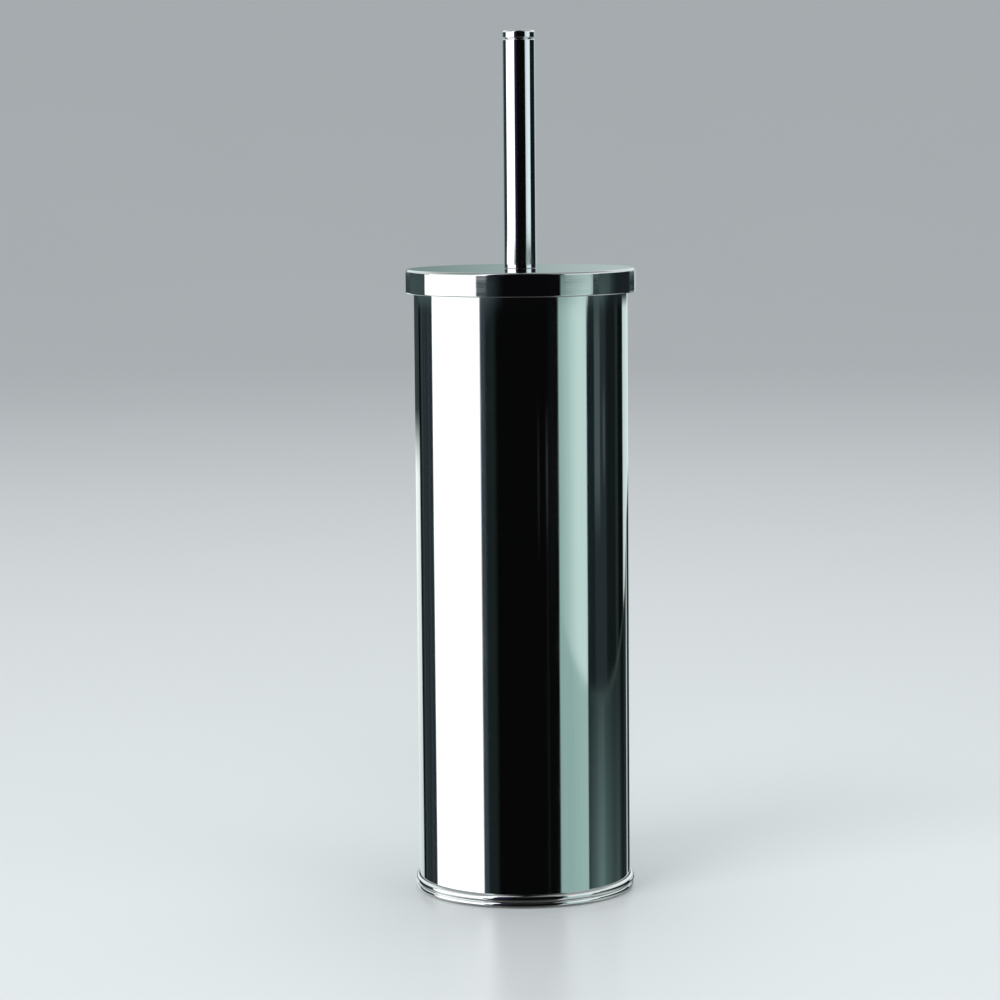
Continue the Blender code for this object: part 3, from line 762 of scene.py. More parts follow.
@dataclass(frozen=True)
class Metal:
    """A bare metal, polished, brushed or plain, in one of the record's slots.

    Attributes:
        slot: The record's slot.
        grain: Which way its lines run.
        lines: Lines to a metre, across the grain.
        line_depth: How deep the lines are, in metres.
        roughness: The roughness between lines.
        line_roughness: How much rougher the roughest lines are.
        wave_length: How far apart the slow waves of the sheet are, in metres.
        wave_depth: How deep those waves are, in metres.
        wave_squash: How much slower the waves are along the axis, as a share.
        anisotropy: How much the lines stretch a highlight across them.
        tint_spread: How much darker the darkest lines are, as a share.
        fine_share: The fine lines' share of the tint. The broad bands have the rest.
        drawn_along: How fast a line up and down changes on its way, as a share of lines.
        drawn_around: The same for a line round the axis.
        bands: Broad bands for each line, as a share.
        band_along: How often a band up and down changes to a metre.
        band_around: The same for a band round the axis.
        band_gloss: How much rougher the roughest bands are, as a share of the lines.
        smears: Wiped smears to a metre, level and upright.
        smear_gloss: How much a smear lowers and raises the roughness, as shares.
        seam: The weld up its back, if it has one.
    """

    slot: str
    grain: Grain
    lines: float
    line_depth: float
    roughness: float
    line_roughness: float
    wave_length: float = 0.05
    wave_depth: float = 0.0
    wave_squash: float = 0.4
    anisotropy: float = 0.0
    tint_spread: float = 0.06
    fine_share: float = 0.6
    drawn_along: float = 0.006
    drawn_around: float = 0.012
    bands: float = 0.18
    band_along: float = 3.0
    band_around: float = 9.0
    band_gloss: float = 0.7
    smears: tuple[float, float] = (60.0, 34.0)
    smear_gloss: tuple[float, float] = (-0.3, 0.5)
    seam: Weld | None = None

    def grain_points(self, bench: Bench) -> tuple[Socket, Socket]:
        """The points at which noise makes the fine lines and the broad bands."""
        fine, broad = self.lines, self.lines * self.bands
        if self.grain is Grain.ALONG:
            return (
                bench.stretched(fine, fine * self.drawn_along),
                bench.stretched(broad, self.band_along),
            )
        return (
            bench.around(fine, fine * self.drawn_around),
            bench.around(broad, self.band_around),
        )

    def material(self) -> bpy.types.Material:
        """Builds the metal.

        Lines are noise stretched along the grain. They raise the roughness, darken the
        colour a little and cut shallow grooves. Slow waves bend reflections, and faint
        wiped smears change the gloss.

        Returns:
            The material.
        """
        bench = Bench("finish_" + self.slot)
        fine_point, broad_point = self.grain_points(bench)
        fine = bench.noise(fine_point, detail=3.0, rough=0.6)
        broad = bench.noise(broad_point, detail=2.0, rough=0.5)
        smear = bench.noise(bench.stretched(*self.smears), detail=4.0, rough=0.62)

        duller, glossier = (share * self.roughness for share in self.smear_gloss)
        line_gloss = bench.spread(fine, self.roughness, self.roughness + self.line_roughness)
        band_gloss = bench.spread(broad, 0.0, self.line_roughness * self.band_gloss)
        smear_gloss = bench.spread(smear, duller, glossier, 0.35)
        gloss = bench.math("ADD", bench.math("ADD", line_gloss, band_gloss), smear_gloss)

        colour = slot_colour(self.slot)
        tone = bench.spread(bench.blended(fine, broad, self.fine_share), 0.0, 1.0)
        tint = bench.toned(tone, shaded(colour, 1.0 - self.tint_spread), colour)

        normal = bench.bumped(fine, self.line_depth)
        if self.wave_depth > 0.0:
            rate = 1.0 / self.wave_length
            slow_point = bench.stretched(rate, rate * self.wave_squash)
            normal = bench.bumped(bench.noise(slow_point, 1.0), self.wave_depth, normal)
        if self.seam is not None:
            gloss, normal = self.seam.laid(bench, gloss, normal)

        inputs = {"Base_Color": tint, "Metallic": 1.0, "Roughness": gloss, "Normal": normal}
        if self.anisotropy > 0.0:
            tangent = bench.add(
                "ShaderNodeTangent", direction_type="UV_MAP", uv_map="around_and_along"
            )
            inputs["Anisotropic"] = self.anisotropy
            inputs["Anisotropic_Rotation"] = self.grain.turn
            inputs["Tangent"] = tangent.outputs[0]
        return bench.finish(**inputs)


@dataclass(frozen=True)
class Plastic:
    """A moulded plastic in one of the record's slots.

    Attributes:
        slot: The record's slot.
        roughness: The roughness of the moulded skin.
        gloss_spread: How far the texture lowers and raises that roughness.
        texture: Grains of the mould's texture to a metre.
        texture_depth: How deep those grains are, in metres.
        flow: Flow marks to a metre, level and upright.
        flow_share: The flow marks' share of the tone. Fine specks have the rest.
        specks: Specks to a metre.
        mottle: How much the colour varies, as a share.
        rub: How far rubbed spots lower and raise the roughness.
        specular: How strongly its skin reflects.
        subsurface: How much light the plastic lets in.
        subsurface_depth: How deep that light goes, in metres.
        subsurface_tint: How deep red, green and blue go, as shares of that.
    """

    slot: str
    roughness: float
    gloss_spread: tuple[float, float] = (-0.05, 0.07)
    texture: float = 1400.0
    texture_depth: float = 0.000010
    flow: tuple[float, float] = (55.0, 22.0)
    flow_share: float = 0.65
    specks: float = 420.0
    mottle: float = 0.10
    rub: float = 0.04
    specular: float = 0.45
    subsurface: float = 0.0
    subsurface_depth: float = 0.002
    subsurface_tint: Triple = (1.0, 0.95, 0.85)

    def material(self) -> bpy.types.Material:
        """Builds the plastic.

        The mould's texture is fine noise. Flow marks are slow noise that changes colour
        and gloss, and rubbed spots are a little shinier.

        Returns:
            The material.
        """
        bench = Bench("finish_" + self.slot)
        grain = bench.noise(bench.stretched(self.texture), detail=2.0, rough=0.55)
        flow = bench.noise(bench.stretched(*self.flow), detail=3.0, rough=0.6)
        speck = bench.noise(bench.stretched(self.specks), detail=1.0)

        colour = slot_colour(self.slot)
        dark, light = shaded(colour, 1.0 - self.mottle), shaded(colour, 1.0 + self.mottle / 2)
        tone = bench.spread(bench.blended(flow, speck, self.flow_share), 0.0, 1.0, start=0.35)
        low, high = (self.roughness + change for change in self.gloss_spread)
        skin = bench.spread(grain, low, high)
        rubbed = bench.spread(flow, -self.rub, self.rub)
        inputs = {
            "Base_Color": bench.toned(tone, dark, light),
            "Roughness": bench.math("ADD", skin, rubbed),
            "Normal": bench.bumped(grain, self.texture_depth),
            "Specular_IOR_Level": self.specular,
        }
        if self.subsurface > 0.0:
            inputs["Subsurface_Weight"] = self.subsurface
            inputs["Subsurface_Radius"] = self.subsurface_tint
            inputs["Subsurface_Scale"] = self.subsurface_depth
        return bench.finish(**inputs)


@dataclass(frozen=True)
class Filament:
    """Drawn brush filaments, a little translucent, each with a tone of its own.

    Attributes:
        slot: The record's slot.
        roughness: The roughness of a filament.
        gloss_spread: How far its drawn surface lowers and raises that roughness.
        marks: Marks of the drawing to a metre.
        mark_depth: How deep they are, in metres.
        tone_share: The filament's own share of its tone. The marks have the rest.
        darkest: The darkest filament's red, green and blue, as shares of the slot's.
    """

    slot: str = "bristle"
    roughness: float = 0.34
    gloss_spread: tuple[float, float] = (-0.06, 0.10)
    marks: float = 1900.0
    mark_depth: float = 0.000008
    tone_share: float = 0.8
    darkest: Triple = (0.80, 0.81, 0.79)

    def material(self) -> bpy.types.Material:
        """Builds the filament, whose tone comes from the piece's shade attribute.

        Returns:
            The material.
        """
        bench = Bench("finish_" + self.slot)
        shade = bench.add("ShaderNodeAttribute", attribute_name="shade").outputs["Fac"]
        draw = bench.noise(bench.stretched(self.marks), detail=1.0)
        colour = slot_colour(self.slot)
        tone = bench.blended(shade, draw, self.tone_share)
        low, high = (self.roughness + change for change in self.gloss_spread)
        return bench.finish(
            Base_Color=bench.toned(tone, shaded(colour, *self.darkest), colour),
            Roughness=bench.spread(draw, low, high),
            Normal=bench.bumped(draw, self.mark_depth),
            Subsurface_Weight=0.25,
            Subsurface_Radius=(1.0, 1.0, 0.95),
            Subsurface_Scale=0.0006,
            Sheen_Weight=0.08,
            Sheen_Roughness=0.4,
        )


@dataclass(frozen=True)
class Rubber:
    """Moulded rubber with a bloom of dust in its grain.

    Attributes:
        slot: The record's slot.
        roughness: The roughness of the rubber.
        gloss_spread: How far its grain lowers and raises that roughness.
        grains: Grains to a metre.
        grain_depth: How deep they are, in metres.
        bloom: Patches of dust to a metre, level and upright.
        dustiness: How much lighter the dust is.
    """

    slot: str = "foot_rubber"
    roughness: float = 0.72
    gloss_spread: tuple[float, float] = (-0.08, 0.12)
    grains: float = 2200.0
    grain_depth: float = 0.00003
    bloom: tuple[float, float] = (90.0, 140.0)
    dustiness: float = 2.1

    def material(self) -> bpy.types.Material:
        """Builds the rubber: coarse grain, and lighter bloom where slow noise is high.

        Returns:
            The material.
        """
        bench = Bench("finish_" + self.slot)
        grain = bench.noise(bench.stretched(self.grains), detail=3.0, rough=0.6)
        bloom = bench.noise(bench.stretched(*self.bloom), detail=4.0, rough=0.65)
        colour = slot_colour(self.slot)
        dusty = shaded(colour, self.dustiness)
        low, high = (self.roughness + change for change in self.gloss_spread)
        return bench.finish(
            Base_Color=bench.toned(bench.spread(bloom, 0.0, 0.6), colour, dusty),
            Roughness=bench.spread(grain, low, high),
            Normal=bench.bumped(grain, self.grain_depth),
            Specular_IOR_Level=0.3,
        )


@dataclass(frozen=True)
class Board:
    """The studio's pale board, which is a little glossy round the object only.

    Attributes:
        colour: The board's colour.
        darkest: The darkest patches, as a share of that.
        patches: Slow patches of tone to a metre.
        teeth: Grains of its surface to a metre.
        roughness: The lowest and highest roughness near the object.
        dulled: How much rougher it is far out.
        dull_reach: From where to where that grows, from the origin, in metres.
        polish: How strongly it reflects near the object.
        polish_reach: From where to where that fades to nothing.
    """

    colour: Colour4 = (0.60, 0.625, 0.63, 1.0)
    darkest: float = 0.97
    patches: float = 1.7
    teeth: float = 300.0
    roughness: tuple[float, float] = (0.285, 0.295)
    dulled: float = 0.7
    dull_reach: tuple[float, float] = (0.2, 1.0)
    polish: float = 0.35
    polish_reach: tuple[float, float] = (0.3, 2.7)

    def material(self) -> bpy.types.Material:
        """Builds the board.

        Returns:
            The material.
        """
        bench = Bench("studio_pale_board")
        patch = bench.noise(bench.stretched(self.patches), detail=2.0)
        tooth = bench.noise(bench.stretched(self.teeth), detail=2.0)
        reach = bench.add("ShaderNodeVectorMath", {0: bench.point}, operation="LENGTH")
        reach = reach.outputs["Value"]

        def eased(span: tuple[float, float], near: float, far: float) -> Socket:
            """Eases from the near value to the far one over a span of reach."""
            wires = {0: reach, 1: span[0], 2: span[1], 3: near, 4: far}
            node = bench.add("ShaderNodeMapRange", wires, interpolation_type="SMOOTHSTEP")
            return node.outputs[0]

        dullness = eased(self.dull_reach, 0.0, self.dulled)
        polish = eased(self.polish_reach, self.polish, 0.0)
        return bench.finish(
            Base_Color=bench.toned(patch, shaded(self.colour, self.darkest), self.colour),
            Roughness=bench.math("ADD", bench.spread(tooth, *self.roughness), dullness),
            Specular_IOR_Level=polish,
        )


Finish = Metal | Plastic | Filament | Rubber

TUBE_STEEL = Metal(
    "tube_steel", Grain.ALONG, lines=2600.0, line_depth=0.0000004, roughness=0.028,
    line_roughness=0.02, wave_length=0.05, wave_depth=0.00004, anisotropy=0.6, seam=Weld(),
)
LID_STEEL = Metal(
    "lid_steel", Grain.AROUND, lines=3000.0, line_depth=0.00000015, roughness=0.026,
    line_roughness=0.026, tint_spread=0.20, anisotropy=0.6,
)
RING_CHROME = Metal(
    "ring_chrome", Grain.AROUND, lines=1800.0, line_depth=0.0000004, roughness=0.03,
    line_roughness=0.03, wave_length=0.02, wave_depth=0.00001,
)
HANDLE_CHROME = Metal(
    "handle_chrome", Grain.ALONG, lines=2400.0, line_depth=0.0000003, roughness=0.03,
    line_roughness=0.03, wave_length=0.03, wave_depth=0.000012,
)
PLAIN_STEEL = Metal(
    "plain_steel", Grain.AROUND, lines=2200.0, line_depth=0.000004, roughness=0.26,
    line_roughness=0.16, tint_spread=0.16, anisotropy=0.35,
)
TURNED_BRASS = Metal(
    "insert_brass", Grain.AROUND, lines=2600.0, line_depth=0.000005, roughness=0.24,
    line_roughness=0.18, tint_spread=0.18, anisotropy=0.3,
)
LINER_PLASTIC = Plastic("liner_plastic", roughness=0.42)
INSERT_PLASTIC = Plastic("insert_plastic", roughness=0.46, texture=1700.0)
CORE_PLASTIC = Plastic(
    "core_plastic", roughness=0.30, texture=900.0, texture_depth=0.000006, mottle=0.05,
    subsurface=0.12,
)
FILAMENT = Filament()
RUBBER = Rubber()


def fitted(piece: bpy.types.Object, finish: Finish, body: Body, *nodes: str) -> None:
    """Dresses a finished piece and hands it to the frame.

    Args:
        piece: The piece, in place.
        finish: Its finish, which also names its slot.
        body: The body that it moves with.
        nodes: The CAD nodes that it stands for.
    """
    material = bpy.data.materials.get("finish_" + finish.slot) or finish.material()
    piece.data.materials.append(material)
    if nodes:
        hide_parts(*nodes)
    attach(piece, body.value)
    faces = len(piece.data.polygons)
    log.info("%s: %d faces, %s, rides on %s", piece.name, faces, finish.slot, body.value)


# ---------------- Sub-assemblies


def rounded_arc(
    base: float, depth: float, middle: float, half: float, start: float, end: float
) -> list[Triple]:
    """Corners that close round part of an ellipse, for an outline to fillet smooth.

    The ellipse is (base + depth cos t, middle + half sin t). Its tangents at equal steps
    of t meet at the corners, each at the middle of a step and 1 / cos(half step) out.

    Args:
        base: The ellipse's centre, from the axis.
        depth: How far it stands out.
        middle: The level of its centre.
        half: Half of its height.
        start: Where the arc starts, in degrees from level.
        end: Where the arc ends.

    Returns:
        The corners, each with as large a fillet as fits.
    """
    step = (end - start) / ARC_CORNERS
    mids = [math.radians(start + step * (index + 0.5)) for index in range(ARC_CORNERS)]
    out = 1.0 / math.cos(math.radians(step / 2))
    widest = max(depth, half)
    return [
        (base + depth * math.cos(t) * out, middle + half * math.sin(t) * out, widest)
        for t in mids
    ]


@dataclass(frozen=True)
class Canister:
    """The drawn tube, and under it the trim ring, the pressed plate and the rubber foot."""

    tube: Place
    ring: Place
    plate: Place
    foot: Place
    wall: float = 0.0007
    rim_width: float = 0.0018
    rim_depth: float = 0.0024
    rim_fillet: float = 0.0009
    cut_edge: float = 0.0002
    ring_gap: float = 0.0003
    ring_sheet: float = 0.0006
    ring_lip_radius: float = 0.0433
    bead_step: float = 0.0004
    lower_bead: float = 0.0021
    lower_inset: float = 0.0005
    groove: float = 0.00006
    crease: float = 70.0
    plate_sheet: float = 0.0008
    plate_depth: float = 0.0026
    plate_panel: float = 0.0280
    plate_swage: float = 0.0365
    swage_width: float = 0.0022
    swage_height: float = 0.0006
    foot_width: float = 0.0070
    grip_grooves: int = 4
    grip_depth: float = 0.0005
    grip_share: float = 0.2
    grip_taper: float = 0.6
    soft_edge: float = 0.0004

    @classmethod
    def from_frame(cls) -> "Canister":
        """Takes the canister's places from the frame."""
        nodes = ("canister_shell", "base_ring", "base_plate", "foot_ring")
        return cls(*(Place.of(node) for node in nodes))

    def tube_outline(self) -> Outline:
        """The tube's wall, with its rim rolled inwards."""
        outer, bottom, top = self.tube.radius, self.tube.bottom, self.tube.top
        inner, roll = outer - self.wall, outer - self.rim_width
        corners = [
            (inner, bottom, self.cut_edge),
            (outer, bottom, self.cut_edge),
            (outer, top, self.rim_fillet),
            (roll, top, self.rim_fillet),
            (roll, top - self.rim_depth, self.soft_edge),
            (inner, top - self.rim_depth, self.soft_edge),
        ]
        return Outline(corners)

    def ring_outline(self) -> Outline:
        """The trim ring: a lip under the tube, a small bead, and a larger one above it."""
        bore = self.tube.radius + self.ring_gap
        base = bore + self.bead_step
        depth = self.ring.radius - base
        inset = depth - self.lower_inset
        low, high = self.ring.bottom, self.ring.top
        lower = self.lower_bead / 2
        upper = (high - low - self.lower_bead) / 2
        corners = [
            (self.ring_lip_radius, low, self.cut_edge),
            *rounded_arc(base, inset, low + lower, lower, -90, self.crease),
            (base + self.cut_edge, low + self.lower_bead, self.groove),
            *rounded_arc(base, depth, high - upper, upper, -self.crease, 90),
            (bore, high, self.cut_edge),
            (bore, low + self.ring_sheet, self.cut_edge),
            (self.ring_lip_radius, low + self.ring_sheet, self.cut_edge),
        ]
        return Outline(corners)

    def plate_outline(self) -> Outline:
        """The pressed plate: a raised panel, a swage round it, and a turned-down rim."""
        rim, seat, peak = self.plate.radius, self.plate.bottom, self.plate.top
        sheet, edge = self.plate_sheet, self.soft_edge
        flat = seat + self.plate_depth
        slope = self.plate_panel + peak - flat
        swage, half = self.plate_swage, self.swage_width / 2
        ridge = flat + self.swage_height
        upper = [
            (rim, flat, 2 * edge),
            (swage + 2 * half, flat, 2 * edge),
            (swage + half, ridge, 2 * edge),
            (swage - half, ridge, 2 * edge),
            (swage - 2 * half, flat, 2 * edge),
            (slope, flat, 2 * edge),
            (self.plate_panel, peak, 2 * edge),
            (0.0, peak, 0.0),
        ]
        under = [(r, z - sheet, fillet) for r, z, fillet in upper[:0:-1]]
        hem = [(rim - sheet, flat - sheet, edge), (rim - sheet, seat, self.cut_edge)]
        return Outline([*under, *hem, (rim, seat, self.cut_edge), *upper], on_axis=True)

    def foot_outline(self) -> Outline:
        """The rubber ring, with grip grooves in its sole."""
        outer, top = self.foot.radius, self.foot.top
        inner = outer - self.foot_width
        pitch = self.foot_width / (self.grip_grooves + 1)
        sole = [(inner, self.foot.bottom, self.soft_edge)]
        for index in range(1, self.grip_grooves + 1):
            middle, half = inner + index * pitch, pitch * self.grip_share
            roof, floor = self.foot.bottom + self.grip_depth, self.foot.bottom
            sole += [
                (middle - half, floor, self.cut_edge),
                (middle - half * self.grip_taper, roof, self.cut_edge),
                (middle + half * self.grip_taper, roof, self.cut_edge),
                (middle + half, floor, self.cut_edge),
            ]
        sole.append((outer, self.foot.bottom, self.soft_edge))
        return Outline([*sole, (outer, top, self.cut_edge), (inner, top, self.cut_edge)])

    def build(self) -> None:
        """Builds and dresses the canister's four pieces."""
        tube = turned(self.tube_outline()).made("canister_tube")
        fitted(tube, TUBE_STEEL, Body.CANISTER, "canister_shell")
        ring = turned(self.ring_outline()).made("canister_trim_ring")
        fitted(ring, RING_CHROME, Body.CANISTER, "base_ring")
        plate = turned(self.plate_outline()).made("canister_bottom_plate")
        fitted(plate, PLAIN_STEEL, Body.CANISTER, "base_plate")
        foot = turned(self.foot_outline()).made("canister_rubber_foot")
        fitted(foot, RUBBER, Body.CANISTER, "foot_ring")


@dataclass(frozen=True)
class Liner:
    """The moulded cup that catches drips, hung on the tube's rim by its collar."""

    cup: Place
    collar_wall: float = 0.0011
    collar_gap: float = 0.0028
    collar_depth: float = 0.0049
    flange: float = 0.0014
    wall: float = 0.0012
    draft: float = 0.0020
    floor: float = 0.0015
    floor_fillet: float = 0.0030
    edge: float = 0.0005
    rib_count: int = 4
    rib_height: float = 0.0035
    rib_width: float = 0.0016
    rib_length: float = 0.0200
    rib_inset: float = 0.0060
    gate_radius: float = 0.0016
    gate_height: float = 0.0003
    recess_radius: float = 0.0340
    recess_depth: float = 0.0003

    @classmethod
    def from_frame(cls) -> "Liner":
        """Takes the liner's place from the frame."""
        return cls(Place.of("liner_cup"))

    def outline(self) -> Outline:
        """The cup from under its floor, up and over its collar, and down its inside."""
        lip, under, top = self.cup.radius, self.cup.bottom, self.cup.top
        lip_bore = lip - self.collar_wall
        wall_top = lip_bore - self.collar_gap
        wall_bottom = wall_top - self.draft
        flange, floor = top - self.flange, under + self.floor
        roof = under + self.recess_depth
        gate = floor + self.gate_height
        corners = [
            (0.0, roof, 0.0),
            (self.recess_radius - self.recess_depth, roof, self.edge),
            (self.recess_radius, under, self.edge),
            (wall_bottom, under, self.floor_fillet + self.wall),
            (wall_top, flange, self.edge),
            (lip_bore, flange, self.edge),
            (lip_bore, top - self.collar_depth, self.edge),
            (lip, top - self.collar_depth, self.edge),
            (lip, top, 2 * self.edge),
            (wall_top - self.wall, top, self.edge),
            (wall_bottom - self.wall, floor, self.floor_fillet),
            (self.gate_radius + self.gate_height, floor, self.edge),
            (self.gate_radius, gate, self.edge),
            (0.0, gate, 0.0),
        ]
        return Outline(corners, on_axis=True)

    def build(self) -> None:
        """Builds the cup with the ribs on its floor."""
        floor = self.cup.bottom + self.floor
        inner = self.cup.radius - self.collar_wall - self.collar_gap - self.draft - self.wall
        rib_end = inner - self.rib_inset
        ribs = bars(
            self.rib_count,
            rib_end - self.rib_length,
            rib_end,
            self.rib_width,
            floor - self.floor / 2,
            floor + self.rib_height,
            self.edge,
        )
        cup = merged([turned(self.outline()), ribs]).made("liner_moulded_cup")
        fitted(cup, LINER_PLASTIC, Body.LINER, "liner_cup")


@dataclass(frozen=True)
class Lid:
    """The pressed steel cap and the moulded insert that seats it in the liner's mouth."""

    cap: Place
    insert: Place
    sheet: float = 0.0008
    edge_radius: float = 0.0012
    hem_width: float = 0.0014
    hem_height: float = 0.0018
    hem_fillet: float = 0.0006
    hole_radius: float = 0.0043
    flange: float = 0.0015
    spigot_inset: float = 0.0064
    spigot_wall: float = 0.0012
    boss_radius: float = 0.0090
    boss_depth: float = 0.0060
    rib_count: int = 6
    rib_width: float = 0.0014
    rib_depth: float = 0.0045
    edge: float = 0.0004

    @classmethod
    def from_frame(cls) -> "Lid":
        """Takes the lid's places from the frame."""
        return cls(Place.of("lid_shell"), Place.of("lid_insert"))

    def cap_outline(self) -> Outline:
        """The cap: a flat top, a rounded edge, and a skirt hemmed inwards at its foot."""
        radius, foot, top = self.cap.radius, self.cap.bottom, self.cap.top
        bore, under = radius - self.sheet, top - self.sheet
        hem_bore, hem_top = radius - self.hem_width, foot + self.hem_height
        corners = [
            (self.hole_radius, under, self.edge / 2),
            (bore, under, self.edge),
            (bore, hem_top, self.edge / 2),
            (hem_bore, hem_top, self.edge),
            (hem_bore, foot, self.hem_fillet),
            (radius, foot, self.hem_fillet),
            (radius, top, self.edge_radius),
            (self.hole_radius, top, self.edge / 2),
        ]
        return Outline(corners)

    def insert_outline(self) -> Outline:
        """The insert: a boss round the shaft, a spigot, and a flange under the cap."""
        flange_radius, foot, top = self.insert.radius, self.insert.bottom, self.insert.top
        web = top - self.flange
        spigot = flange_radius - self.spigot_inset
        spigot_bore = spigot - self.spigot_wall
        corners = [
            (self.hole_radius, web - self.boss_depth, self.edge),
            (self.boss_radius, web - self.boss_depth, self.edge),
            (self.boss_radius, web, self.edge),
            (spigot_bore, web, self.edge),
            (spigot_bore, foot, self.edge),
            (spigot, foot, self.edge),
            (spigot, web, self.edge / 2),
            (flange_radius, web, self.edge),
            (flange_radius, top, self.edge),
            (self.hole_radius, top, self.edge / 2),
        ]
        return Outline(corners)

    def build(self) -> None:
        """Builds the cap, and the insert with its ribs."""
        cap = turned(self.cap_outline()).made("lid_steel_cap")
        fitted(cap, LID_STEEL, Body.LID, "lid_shell")
        web = self.insert.top - self.flange
        spigot_bore = self.insert.radius - self.spigot_inset - self.spigot_wall
        ribs = bars(
            self.rib_count,
            self.boss_radius - self.spigot_wall,
            spigot_bore + self.spigot_wall / 2,
            self.rib_width,
            web - self.rib_depth,
            web + self.flange / 2,
            self.edge,
        )
        insert = merged([turned(self.insert_outline()), ribs]).made("lid_moulded_insert")
        fitted(insert, INSERT_PLASTIC, Body.LID, "lid_insert")


@dataclass(frozen=True)
class Handle:
    """The chromed tube, the plug in its top and the threaded insert in its foot."""

    tube: Place
    cap: Place
    insert: Place
    wall: float = 0.0010
    tube_edge: float = 0.0003
    foot_reach: float = 0.00022
    plug_gap: float = 0.0003
    head: float = 0.0034
    head_edge: float = 0.0009
    crown: float = 0.0003
    crown_share: float = 0.6
    neck: float = 0.0004
    neck_inset: float = 0.0006
    turned_edge: float = 0.0006
    thread_bore: float = 0.0043
    thread_depth: float = 0.0140
    knurls: int = 64
    knurl_depth: float = 0.00015
    knurl_margin: float = 0.001
    knurl_steps: int = 40
    sharp_edge: float = 0.0001

    @classmethod
    def from_frame(cls) -> "Handle":
        """Takes the handle's places from the frame."""
        nodes = ("handle_tube", "handle_cap", "handle_insert")
        return cls(*(Place.of(node) for node in nodes))

    def tube_outline(self) -> Outline:
        """The tube's wall, whose foot reaches down until it all but sits on the lid."""
        outer, top = self.tube.radius, self.tube.top
        bottom = self.tube.bottom - self.foot_reach
        bore = outer - self.wall
        corners = [
            (bore, bottom, self.sharp_edge),
            (outer, bottom, self.sharp_edge),
            (outer, top, self.tube_edge),
            (bore, top, self.sharp_edge),
        ]
        return Outline(corners)

    def cap_outline(self) -> Outline:
        """The plug: a spigot, a narrow neck that shows as a groove, and a crowned head."""
        radius, foot, top = self.cap.radius, self.cap.bottom, self.cap.top
        spigot = self.tube.radius - self.wall - self.plug_gap
        under = top - self.head
        neck = radius - self.neck_inset
        corners = [
            (0.0, foot, 0.0),
            (spigot, foot, self.turned_edge),
            (spigot, under - self.neck, self.sharp_edge),
            (neck, under - self.neck, self.sharp_edge),
            (neck, under, self.sharp_edge),
            (radius, under, self.tube_edge),
            (radius, top - self.crown, self.head_edge),
            (radius * self.crown_share, top, radius),
            (0.0, top, 0.0),
        ]
        return Outline(corners, on_axis=True)

    def insert_outline(self) -> Outline:
        """The insert: a blind threaded bore in a turned slug."""
        radius, foot, top = self.insert.radius, self.insert.bottom, self.insert.top
        roof = foot + self.thread_depth
        corners = [
            (0.0, roof, 0.0),
            (self.thread_bore, roof, self.sharp_edge),
            (self.thread_bore, foot, self.sharp_edge),
            (radius, foot, self.sharp_edge),
            (radius, top, self.turned_edge),
            (0.0, top, 0.0),
        ]
        return Outline(corners, on_axis=True, side_points=self.knurl_steps)

    def knurl(self, angle: Array, radius: Array, level: Array) -> Array:
        """Cuts a diamond knurl into the slug's outside.

        The cut is the knurl depth times the square of a sine of each of two crossing
        helices, on points near the outer radius and away from the ends.

        Args:
            angle: Each point's angle about the axis.
            radius: Its distance from the axis.
            level: Its level.

        Returns:
            The change of radius.
        """
        climb = level / self.insert.radius * self.knurls / 2
        cut = np.sin(angle * self.knurls / 2 + climb) * np.sin(angle * self.knurls / 2 - climb)
        outside = radius > self.insert.radius - self.sharp_edge / 2
        low, high = self.insert.bottom + self.knurl_margin, self.insert.top - self.knurl_margin
        within = (level > low) & (level < high)
        return -self.knurl_depth * cut**2 * outside * within

    def build(self) -> None:
        """Builds and dresses the handle's three pieces."""
        tube = turned(self.tube_outline(), SLIM_SIDES).made("handle_chromed_tube")
        fitted(tube, HANDLE_CHROME, Body.BRUSH, "handle_tube")
        cap = turned(self.cap_outline(), SLIM_SIDES).made("handle_end_cap")
        fitted(cap, HANDLE_CHROME, Body.BRUSH, "handle_cap")
        slug = turned(self.insert_outline(), 2 * SLIM_SIDES, self.knurl)
        insert = slug.made("handle_threaded_insert")
        fitted(insert, TURNED_BRASS, Body.BRUSH, "handle_insert")


